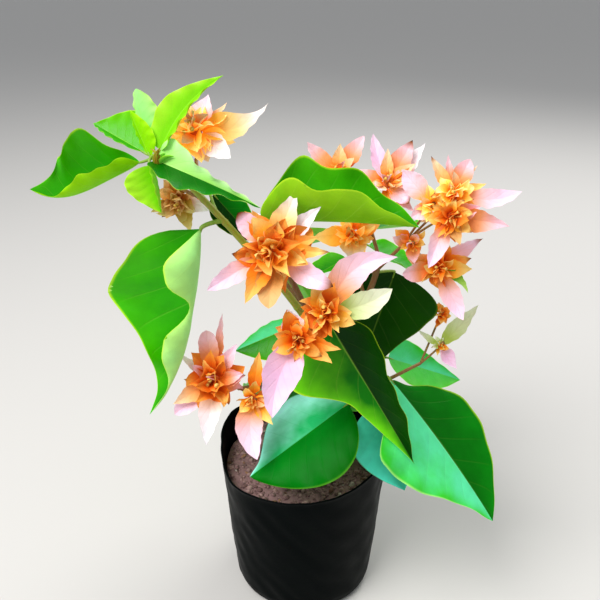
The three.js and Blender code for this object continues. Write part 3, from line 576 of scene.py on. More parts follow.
def grown_on(limb, at, rows, stem=(), stalk=STALK_RADIUS, ease=0.5):
    """A mass of leaves or heads: its limb and the place on it, its rows, short stem and stalks."""
    stem = [point_on_limb(limb, at), *(np.array(point, float) for point in stem)]
    return {"rows": rows, "stem": stem, "stalk": stalk, "ease": ease}


def leaf(foot, azimuth, lift, length, width, tones, **own):
    """A leaf's row: its foot, the way it points, its size, and its tones: left, right and below."""
    return {**PLAIN_LEAF, "foot": np.array(foot, float), "azimuth": azimuth, "lift": lift,
            "length": length, "width": width, "tones": tones.split(), **own}


LEAVES = {
    "growing_tip": grown_on("left_bough", 1, [
        leaf((-88, -24, 307), -152, -7, 58, 60, "vivid vivid yellow_under", fold_left=(60, 52, 45),
             fold_right=(75, 85, 85, 70), arch=-0.08, hook=-0.08, wave=0.02, rise=0.8, fall=0.7,
             skew=0.25, edges=((0.6, 0.9, 0.75, 0.66, 0.66, 0.66, 0.62, 0.45, 0.2, 0.1, 0.1),
             (0.8, 0.72, 0.7, 0.95, 0.84, 0.77, 0.68, 0.66, 0.64, 0.5, 0.3)), frill=0.016),
        leaf((-88, -14, 310), 154, 21, 36, 26, "vivid grass yellow_under", roll=15, fold_left=35,
             fold_right=50, edges=(1, (1, 1.3, 1.4, 1.35, 1.2, 1)), frill=0.016),
        leaf((-83, -12, 312), 172, 78, 32, 18, "young young pale_under", roll=-68, fold_left=10,
             fold_right=20, rise=1.0, fall=0.7, sway=0.05, skew=-0.2, frill=0.016),
        leaf((-84, -18, 309), 160, 67, 26, 15, "young young yellow_under", roll=-70, fold_left=30,
             fold_right=20, rise=0.7, frill=0.016),
        leaf((-78, -18, 312), -7, 47, 54, 29, "lit lit yellow_under", roll=-70, fold_left=10,
             fold_right=(55, 55, 65), sway=-0.09, rise=0.4, fall=1.2,
             edges=((0.7, 0.75, 0.9, 0.85, 0.8, 0.8), (1, 1, 1, 0.9, 0.9, 0.9)), frill=0.016),
        leaf((-79, -28, 309), -25, -16, 65, 34, "young deep pale_under", arch=0.01,
             fold_left=(70, 96, 104), fold_right=(10, -5, 0), rise=0.35, bends=(30, 20),
             edges=((1.1, 0.8, 0.45, 0.4, 0.4, 0.5), (1, 1, 1.1, 0.8, 0.6, 0.6)), frill=0.016),
        leaf((-82, -30, 307), -60, -61, 26, 32, "vivid lit under", fold_left=110, fold_right=5,
             frill=0.016),
    ], [(-74, -22, 307), (-78, -21, 311)]),
    "hanging_leaf": grown_on("left_bough", 0.77, [
        leaf((-57, -31, 272), -145, -69, 113, 60, "vivid vivid pale_under", roll=-50,
             fold_left=(22, 15, 25), fold_right=110, sway=0.05, arch=-0.045, hook=-0.03, wave=0.02,
             frill=0.01, skew=0.4, lobes=(0.8, 0), crests=(0.17, 0.44), rise=0.45, fall=1.3,
             bends=(105, 30), edges=((1.2, 1.2, 1.05, 1.35, 1.15, 1.5, 1.15, 1.4, 1.8, 1.5, 1),
             (1, 1, 1, 1.12, 1.22, 1.12, 1, 0.95, 0.78, 0.7, 1))),
    ], stalk=1.35, ease=0.2),
    "shoot_leaf": grown_on("left_bough", 0.8, [
        leaf((-51, -16, 287), -14, -47, 36, 22, "deep shade dull_under", roll=-50, fold_left=10,
             fold_right=10),
    ]),
    "arching_leaf": grown_on("centre_bough", 0.8, [
        leaf((-24, -27, 275), -13, 2, 86, 65, "green green olive_under", fold_left=80,
             fold_right=(62, 52, 50), arch=0.02, wave=0.02, frill=0.01, lobes=(0.12, 0.1),
             crests=(0.26, 0.26), lobe_waves=2.8),
    ]),
    "inner_left_leaf": grown_on("left_bough", 0.14, [
        leaf((-4, -12, 204), -170, -21, 42, 34, "green mint dull_under", fold_left=-45, fold_right=0),
    ]),
    "centre_leaf": grown_on("centre_bough", 0.35, [
        leaf((13, -34, 218), -33, -52, 98, 58, "shade leafy under", roll=-40, fold_left=(60, 68, 55),
             fold_right=-8, lobes=(0.1, 0), crests=(0.8, 0.2), lobe_waves=1.5, rise=0.55, fall=1.3,
             edges=(1, (0.9, 1.22, 1.38, 1.22, 0.85, 0.57, 0.54, 0.52, 0.52, 0.5, 0.5))),
    ]),
    "shaded_leaf": grown_on("right_bough", 0.9, [
        leaf((56, 6, 231), -160, -72, 76, 54, "dusk dusk dull_under", roll=60, fold_left=10,
             fold_right=10, skew=-0.12, rise=0.5, fall=0.9,
             edges=((1.4, 1.35, 1.2, 1, 0.88, 0.75, 0.66, 0.62, 0.6, 0.6, 0.6), 1)),
    ], ease=0.1),
    "low_right_leaf": grown_on("low_right_bough", 1, [
        leaf((54, -20, 169), -33, -46, 107, 76, "deep mint dull_under", fold_left=(0, 15, 20),
             fold_right=0, sway=-0.03, skew=0.07, rise=0.8, fall=0.95,
             edges=((0.5, 0.55, 0.9, 1.05, 1.1, 1.08, 1.03, 1, 0.97, 0.93, 0.9),
             (1, 1.3, 1.6, 1.45, 1.25, 1.15, 1, 0.85, 0.7, 0.6, 0.6))),
    ]),
    "blue_leaf": grown_on("low_right_bough", 0.75, [
        leaf((43, -31, 157), -33, -66, 60, 45, "blue blue dull_under", roll=-40, fold_left=10,
             fold_right=0),
    ]),
    "mid_right_leaf": grown_on("low_right_bough", 0.75, [
        leaf((56, 11, 167), 9, -23, 57, 38, "mint meadow under", roll=-20, fold_left=20, fold_right=0,
             edges=((1, 1, 0.8, 0.65, 0.6, 0.7), 1)),
    ], [(45, 4, 151), (49, 13, 161)]),
    "round_leaf": grown_on("main_stem", 0.55, [
        leaf((27, -30, 158), -160, -31, 75, 70, "wet teal dull_under", fold_left=-24, fold_right=6,
             rise=0.55, fall=0.85, bends=(-30, -10),
             edges=(1, (0.7, 0.75, 0.85, 1, 1, 1, 1, 0.95, 0.65, 0.4, 0.3))),
    ]),
    "low_left_leaf": grown_on("main_stem", 0.35, [
        leaf((-8, 14, 128), 120, -12, 66, 50, "green deep dull_under", wave=0.03),
    ]),
    "low_rear_right_leaf": grown_on("main_stem", 0.28, [
        leaf((24, 14, 124), 35, -12, 70, 54, "deep green dull_under", wave=0.03),
    ]),
    "rear_leaves": grown_on("rear_bough", 0.9, [
        leaf((28, 39, 227), -165, -25, 34, 26, "vivid green under", wave=0.03),
        leaf((43, 45, 234), -20, -25, 38, 30, "vivid green under", wave=0.03),
        leaf((44, 58, 241), 60, -15, 72, 52, "green vivid under", wave=0.03),
        leaf((30, 58, 238), 115, -25, 70, 52, "vivid green under", wave=0.03),
    ], [(30, 46, 222)]),
    "rear_left_leaves": grown_on("rear_left_bough", 0.9, [
        leaf((-14, 46, 216), 105, -20, 64, 48, "lit vivid yellow_under", wave=0.03),
        leaf((-5, 42, 212), 70, -45, 58, 42, "green green under", wave=0.03),
    ], [(-9, 36, 208)]),
    "low_rear_leaves": grown_on("low_rear_bough", 0.9, [
        leaf((31, 43, 158), 50, -25, 72, 54, "deep green dull_under", wave=0.03),
        leaf((14, 44, 156), 110, -30, 74, 56, "green deep dull_under", wave=0.03),
    ], [(20, 37, 152)]),
}


def direction(azimuth, lift):
    """Unit vector: azimuth 0 is +X and 90 is +Y, and lift is the angle above the level."""
    level = math.cos(lift * degree)
    return np.array(
        [math.cos(azimuth * degree) * level, math.sin(azimuth * degree) * level, math.sin(lift * degree)]
    )


def along(value, t):
    """A value along a blade: one number, or several from foot to tip."""
    if isinstance(value, (int, float)):
        return value + 0 * t
    knots = np.array(value, float)
    slopes = np.gradient(knots)
    place = np.clip(t, 0, 1) * (len(knots) - 1)
    index = np.minimum(place.astype(int), len(knots) - 2)
    s = place - index
    here, after = knots[index], knots[index + 1]
    return (
        here * (1 + 2 * s) * (1 - s) ** 2 + slopes[index] * s * (1 - s) ** 2
        + after * s * s * (3 - 2 * s) - slopes[index + 1] * s * s * (1 - s)
    )


def outline(blade, t):
    """Half width at t, as a part of the widest: a round foot and a drawn-out tip."""
    rise, fall = blade["rise"], blade["fall"]
    peak = rise / (rise + fall)
    return t**rise * (1 - t) ** fall / (peak**rise * (1 - peak) ** fall)


def vein_phase(t, part, half):
    """Counts the side veins up a half of the blade; each runs out and forward to the margin."""
    return LEAF_VEINS * (t - VEIN_LEAN * part**0.85 * (1 - 0.55 * t)) + 0.25 + 0.45 * half


def blade_sheet(blade, t, u):
    """Middle surface of a blade at rows t and columns u, where u runs from -1 to 1 over the midrib."""
    axis = direction(blade["azimuth"], blade["lift"])
    turn = blade["azimuth"] * degree
    level = np.array([math.sin(turn), -math.cos(turn), 0.0])
    upright = np.cross(level, axis)
    roll = blade["roll"] * degree
    side = level * math.cos(roll) + upright * math.sin(roll)
    up = upright * math.cos(roll) - level * math.sin(roll)
    length = blade["length"]
    bump = 4 * t * (1 - t)
    rising = bump * blade["arch"] + HOOK_SCALE * t**3 * (1 - t) * blade["hook"]
    rising_slope = (4 - 8 * t) * blade["arch"] + HOOK_SCALE * (3 * t**2 - 4 * t**3) * blade["hook"]
    straight = blade["foot"] + length * t[:, None] * axis
    middle = straight + length * (rising[:, None] * up + (bump * blade["sway"])[:, None] * side)
    tangent = unit(axis + rising_slope[:, None] * up + ((4 - 8 * t) * blade["sway"])[:, None] * side)
    across = unit(side - tangent * (tangent @ side)[:, None])
    normal = np.cross(across, tangent)
    sheet = np.zeros((len(t), len(u), 3))
    for column, place in enumerate(u):
        half, sign = (0, -1) if place < 0 else (1, 1)
        part = abs(place)
        lobe_turn = blade["lobe_waves"] * (t - blade["crests"][half])
        lobe = 1 + blade["lobes"][half] * np.cos(2 * math.pi * lobe_turn)
        width = blade["width"] / 2 * outline(blade, t) * (1 + sign * blade["skew"]) * lobe
        width = width * along(blade["edges"][half], t)
        fold = along(blade["fold_left"] if sign < 0 else blade["fold_right"], t) * degree
        bend = blade["bends"][half]
        bend = 2 * blade["curl"] * fold if bend is None else bend * degree + 0 * fold
        first = fold - bend / 2
        here = first + bend * part
        flat = np.abs(bend) < 1e-6
        safe = np.where(flat, 1.0, bend)
        out = np.where(flat, part * np.cos(fold), (np.sin(here) - np.sin(first)) / safe)
        rise = np.where(flat, part * np.sin(fold), (np.cos(first) - np.cos(here)) / safe)
        wave = blade["wave"] * part**2 * np.sin(2 * math.pi * (blade["waves"] * t + half * 1.9))
        frill_turn = FRILL_TURNS * t + half * 0.37 + length / 7
        frill = blade["frill"] * part**3 * np.sin(2 * math.pi * frill_turn)
        quilt = -blade["quilt"] * np.cos(2 * math.pi * vein_phase(t, part, half))
        quilt = quilt * np.clip(3.5 * part, 0, 1) * (1 - part**3) * np.clip(bump * 1.6, 0, 1)
        groove = -0.5 * blade["quilt"] * max(0.0, 1 - part / GROOVE_SHARE) * bump
        lift = length * (wave + frill) * np.sqrt(bump) + (quilt + groove) * width / QUILT_WIDTH
        sheet[:, column] = (
            middle
            + across * (sign * (width * out - lift * np.sin(here)))[:, None]
            + normal * (width * rise + lift * np.cos(here))[:, None]
        )
    return sheet


class Sheaf:
    """Many thin blades gathered into one mesh, each face of each blade with its own tile."""

    def __init__(self, blades):
        self.points, self.faces, self.numbers, self.margins = [], [], [], []
        self.tile_maps, self.blade_maps = [], []
        self.count = 0
        self.tile = 0
        self.across = max(1, math.ceil(math.sqrt(2 * blades)))

    def add_corners(self, corners, places, number):
        """Faces with their material numbers, their places on the blade and those on their tile."""
        column, row = self.tile % self.across, self.tile // self.across
        self.faces += corners.tolist()
        self.numbers.append(np.broadcast_to(number, (len(corners),)))
        flat = places.reshape(-1, 2)
        self.blade_maps.append(flat)
        self.tile_maps.append((np.array([column, row]) + 0.05 + 0.9 * flat) / self.across)

    def add_blade(self, blade, grid, thickness, upper, under):
        """A closed blade: two faces that share their margin, foot and tip. The grid holds the rows
        along it and the columns of each half, and a face has one number for each half."""
        rows, half = grid
        x = np.linspace(0, 1, rows + 1)
        t = 0.65 * x + 0.35 * (0.5 - 0.5 * np.cos(math.pi * x))
        s = np.linspace(-1, 1, 2 * half + 1)
        u = np.sign(s) * np.abs(s) ** 1.15
        sheet = blade_sheet(blade, t, u)
        columns = len(u)
        inside = sheet[1:-1]
        normal = np.cross(np.gradient(inside, axis=1), sheet[2:] - sheet[:-2])
        normal /= np.maximum(np.linalg.norm(normal, axis=2), 1e-9)[..., None]
        taper = np.minimum(1, np.minimum(t, 1 - t)[1:-1] * 12)[:, None]
        thick = 0.5 * thickness * (1 - 0.45 * np.abs(u) ** 2)[None, :] * taper
        rib = blade["rib"] * np.clip(1 - np.abs(u) / 0.1, 0, 1)[None, :] * (1 - t[1:-1])[:, None] * taper
        top = inside + normal * thick[..., None]
        bottom = inside - normal * (thick + rib)[..., None]
        edge = (columns - 1, 0)
        top[:, edge] = inside[:, edge]
        start = self.count
        body = len(t) - 2
        upper_index = start + 1 + np.arange(body * columns).reshape(body, columns)
        lower_index = upper_index.copy()
        inner = start + 1 + body * columns + np.arange(body * (columns - 2)).reshape(body, columns - 2)
        lower_index[:, 1:-1] = inner
        tip_index = start + 1 + body * columns + body * (columns - 2)
        self.points += [
            sheet[0, half][None], top.reshape(-1, 3), bottom[:, 1:-1].reshape(-1, 3), sheet[-1, half][None]
        ]
        margin = np.zeros(tip_index - start + 1, bool)
        margin[[0, -1]] = True
        margin[(upper_index[:, [0, -1]] - start).ravel()] = True
        self.margins.append(margin)
        self.count = tip_index + 1
        place = np.stack(np.meshgrid(u / 2 + 0.5, t[1:-1], indexing="xy"), axis=2)
        mid = (place[0, :-1, 0] + place[0, 1:, 0]) / 2
        foot_mid, tip_mid = np.stack([mid, 0 * mid], axis=1), np.stack([mid, 0 * mid + 1], axis=1)
        halves = np.concatenate([np.zeros(half, int), np.ones(half, int)])
        for index, numbers, way in ((upper_index, upper, 1), (lower_index, under, -1)):
            numbers = np.array(numbers)[halves]
            quads, spots = (
                np.stack([net[:-1, :-1], net[:-1, 1:], net[1:, 1:], net[1:, :-1]], axis=2)
                for net in (index, place)
            )
            foot = np.stack([np.full(columns - 1, start), index[0, 1:], index[0, :-1]], axis=1)
            foot_spots = np.stack([foot_mid, place[0, 1:], place[0, :-1]], axis=1)
            tips = np.stack([index[-1, :-1], index[-1, 1:], np.full(columns - 1, tip_index)], axis=1)
            tip_spots = np.stack([place[-1, :-1], place[-1, 1:], tip_mid], axis=1)
            for corners, spot, number in (
                (quads.reshape(-1, 4), spots.reshape(-1, 4, 2), np.tile(numbers, body - 1)),
                (foot, foot_spots, numbers), (tips, tip_spots, numbers),
            ):
                self.add_corners(corners[:, ::way], spot[:, ::way], number)
            self.tile += 1

    def piece(self, name, surfaces, slot, replaced=()):
        """The gathered blades as one piece, with the tile map and the blades' own map."""
        maps = {"OFBake": np.concatenate(self.tile_maps), "blade": np.concatenate(self.blade_maps)}
        points, numbers, margins = map(np.concatenate, (self.points, self.numbers, self.margins))
        add_piece(name, points, self.faces, surfaces, slot, replaced, numbers, maps, margins)


VEIN_KNOBS = ("Veins", "Lean", "Vein Width", "Rib Width", "Margin Width")
VEIN_MASKS = ("Rib", "Side Veins", "Margin", "Along", "Part", "Height")


def vein_group():
    """Masks of a blade's midrib, its curved side veins and its margin, from its own map."""
    knobs = {"Place": "Vector", **dict.fromkeys(VEIN_KNOBS, "Float")}
    group, ins, outs = new_group("blade_veins", knobs, dict.fromkeys(VEIN_MASKS, "Float"))
    split = put(group, "SeparateXYZ", {"Vector": ins["Place"]})
    from_rib = sums(group, "SUBTRACT", split.outputs[0], 0.5)
    part = sums(group, "MULTIPLY", sums(group, "ABSOLUTE", from_rib), 2.0)
    half = sums(group, "GREATER_THAN", from_rib, 0.0)
    t = split.outputs[1]
    bent = sums(group, "POWER", part, 0.85)
    easing = sums(group, "SUBTRACT", 1.0, sums(group, "MULTIPLY", t, 0.55))
    lean = sums(group, "MULTIPLY", sums(group, "MULTIPLY", bent, easing), ins["Lean"])
    rungs = sums(group, "MULTIPLY", sums(group, "SUBTRACT", t, lean), ins["Veins"])
    phase = sums(group, "ADD", sums(group, "MULTIPLY", half, 0.45), sums(group, "ADD", rungs, 0.25))
    near = sums(group, "PINGPONG", phase, 0.5)
    veins = spread(group, near, 0.0, ins["Vein Width"], 1.0, 0.0, "SMOOTHSTEP")
    veins = sums(group, "MULTIPLY", veins, sums(group, "SUBTRACT", 1.0, sums(group, "POWER", part, 3.0)))
    rib = spread(group, part, 0.0, ins["Rib Width"], 1.0, 0.0, "SMOOTHSTEP")
    inner = sums(group, "SUBTRACT", 1.0, ins["Margin Width"])
    margin = spread(group, part, inner, 1.0, 0.0, 1.0, "SMOOTHSTEP")
    height = sums(group, "MULTIPLY", sums(group, "MAXIMUM", rib, veins), -1.0)
    feed(group, outs, dict(zip(VEIN_MASKS, (rib, veins, margin, t, part, height))))
    return group


VEINS = vein_group()


def veined(tree, *values):
    """The vein group placed in one material, over the blade's own map."""
    spot = put(tree, "UVMap", uv_map="blade").outputs[0]
    return put(tree, "Group", {"Place": spot, **dict(zip(VEIN_KNOBS, values))}, node_tree=VEINS).outputs


def leaf_surface(name, colours, under):
    """The face of a leaf: green that drifts and changes from midrib to margin, pale veins, a painted
    highlight on the margin and a faint painted glow.
    """
    surface, tree, shader = new_surface("leaf_" + name, 0.5 if under else 0.3)
    quiet = name in QUIET_TONES
    inner, outer = shade_of(*colours[0]), shade_of(*colours[1])
    vein_light = 0.02 if name in FAINT_VEIN_TONES else 0.12 if quiet else 0.45
    # The lit margin is a painted highlight along the edge, dimmer on the quiet tones and faintest on the
    # dusk, wet, teal and blue tones.
    edge_light = 0.1 if name in FAINT_EDGE_TONES else 0.5 if quiet else 0.8
    pale, edge = (
        (*((1 - light) * np.array(inner[:3]) + light * np.array(shade_of(*colour)[:3])), 1.0)
        for light, colour in ((vein_light, (190, 236, 90)), (edge_light, (204, 250, 50)))
    )
    lines = veined(tree, LEAF_VEINS, VEIN_LEAN, 0.05, 0.035, 0.05)
    # The clouds carry each tone from its inner to its outer colour; on the mint, teal and blue tones they
    # make painted patches of sky reflection.
    clouds = grain(tree, 42.0, 3.0, Vector=put(tree, "TexCoord").outputs["Object"])
    cloud = sums(tree, "MULTIPLY", sums(tree, "SUBTRACT", clouds, 0.5), 1.6)
    share = sums(tree, "ADD", sums(tree, "POWER", lines["Part"], 1.5), cloud, clamp=True)
    drift = mottled(tree, blend_colours(tree, share, inner, outer), 0.4, 90.0)["Colour"]
    side = sums(tree, "MULTIPLY", lines["Side Veins"], 0.35 if under else 0.16)
    veins = sums(tree, "MAXIMUM", side, sums(tree, "MULTIPLY", lines["Rib"], 0.75))
    edged = blend_colours(tree, lines["Margin"], blend_colours(tree, veins, drift, pale), edge)
    cells = put(tree, "TexVoronoi", {"Scale": 420.0}, feature="DISTANCE_TO_EDGE").outputs[0]
    relief = sums(tree, "MULTIPLY", lines["Height"], -1.0 if under else 1.0)
    height = sums(tree, "ADD", relief, sums(tree, "MULTIPLY", cells, 0.35))
    # The emission is painted light: a faint glow in the leaf's own colour, stronger below.
    feed(tree, shader, {
        "Specular IOR Level": 0.04 if name == "wet" else 0.09 if under or quiet else 0.18,
        "Base Color": edged,
        "Emission Color": edged,
        "Emission Strength": LEAF_GLOW * (1.6 if under else 1.0),
        "Normal": bumped(tree, height, 0.3, 0.0004),
    })
    return surface


leaf_surfaces = {
    name: leaf_surface(name, colour, name.endswith("under")) for name, colour in LEAF_TONES.items()
}
leaf_stalks = []


def stalk_line(start, end, heading, ease=0.5, steps=14):
    """A stalk leaves one point and comes in to another along a given heading, then runs a little on."""
    bend = end - heading * ease * np.linalg.norm(end - start)
    t = np.linspace(0, 1, steps)[:, None]
    curve = (1 - t) ** 2 * start + 2 * t * (1 - t) * bend + t**2 * end
    return np.concatenate([curve, [end + heading * STALK_SINK]])


for name, mass in LEAVES.items():
    stem, wide = mass["stem"], mass["stalk"]
    if len(stem) > 1:
        leaf_stalks.append((stem, LEAF_STEM_RADII[: len(stem)]))
    used = list(dict.fromkeys(tone for row in mass["rows"] for tone in row["tones"]))
    sheaf = Sheaf(len(mass["rows"]))
    for row in mass["rows"]:
        left, right, under = (used.index(tone) for tone in row["tones"])
        sheaf.add_blade(row, LEAF_GRID, LEAF_THICKNESS, [left, right], [under] * 2)
        heading = direction(row["azimuth"], row["lift"])
        line = stalk_line(stem[-1], row["foot"], heading, mass["ease"])
        radii = [wide * 1.25, wide, wide * 0.85, wide * 0.4]
        leaf_stalks.append((line, np.interp(np.linspace(0, 1, len(line)), [0, 0.12, 0.9, 1], radii)))
    sheaf.piece(name + "_blades", [leaf_surfaces[tone] for tone in used], "leaf", [name])

# Flower heads
# Each head is a crowded rosette of papery pointed bracts on a thin stalk. A few long outer
# bracts fade from orange at the foot to pink or white, and the many short ones inside are
# cupped, crumpled and deep orange. Some tips have dried to dark specks. Every bract glows faintly
# as painted light shining through it, and the amber and honey ones glow most, as painted light
# that lifts their heads out of the shade of nearby leaves.
BRACT_TONES = {
    "amber": ((252, 168, 34), (255, 206, 84), (255, 230, 146)),
    "honey": ((252, 152, 24), (255, 190, 70), (255, 214, 126)),
    "orange": ((228, 96, 0), (250, 146, 30), (252, 190, 96)),
    "deep": ((196, 66, 0), (232, 106, 12), (246, 154, 56)),
    "golden": ((232, 126, 8), (250, 176, 50), (252, 212, 122)),
    "tan": ((192, 112, 30), (212, 144, 66), (232, 186, 122)),
    "faded": ((176, 126, 30), (208, 164, 66), (228, 200, 130)),
    "peach": ((246, 142, 40), (250, 184, 112), (252, 214, 172)),
    "coral": ((242, 122, 28), (238, 154, 98), (249, 200, 212)),
    "sunny": ((252, 180, 50), (255, 216, 140), (255, 240, 232)),
    "pink": ((246, 160, 84), (250, 202, 210), (252, 216, 238)),
    "white": ((246, 190, 130), (252, 230, 230), (255, 248, 252)),
    "lilac": ((248, 196, 214), (247, 196, 228), (252, 214, 240)),
    "cream": ((172, 190, 84), (212, 220, 168), (232, 234, 204)),
    "green": ((110, 166, 30), (126, 190, 44), (170, 214, 100)),
}
# Painted light: bracts of these tones glow 4.5 times as much, to lift their heads out of the shade of
# nearby leaves.
GLOWING_TONES = ("amber", "honey")
DRY_STOPS = [(0.955, (150, 84, 40)), (0.985, (60, 30, 16))]
PLAIN_BRACT = {
    **PLAIN_LEAF, "arch": -0.08, "fold_left": 25, "fold_right": 25, "rise": 0.75, "fall": 0.85,
    "frill": 0.014, "quilt": 0.1, "rib": 0.12, "curl": 0.35,
}
CORE_SHARE = 0.23
ROOT_SHARE = 0.75
BRACT_THICKNESS = 0.22
GOLDEN_ANGLE = 137.5
# Painted light: each bract glows faintly in its own colour, for light shining through the paper.
BRACT_GLOW = 0.08
LONG_GRID = (22, 6)
SHORT_GRID = (12, 4)
DRY_LONG = 0.12
DRY_SHORT = 0.13
DRY_FROM = 0.35
POLAR_FIRST = 6
POLAR_SPAN = 101
POLAR_STRAY = 16
FLOWER_STEM_RADII = [1.2, 1.05, 0.95]


def rosette(centre, face, reach, count, seed, tones, *long):
    """A head's row: its centre, the way it faces, its reach, how many short bracts it has, its seed,
    the short bracts' tones, and its long bracts. Each of those has an azimuth, a lift, a length, a
    width and a tone, and sizes of its own where they differ."""
    return {"centre": np.array(centre, float), "face": face, "reach": reach, "count": count,
            "seed": seed, "tones": tones.split(), "long": long}


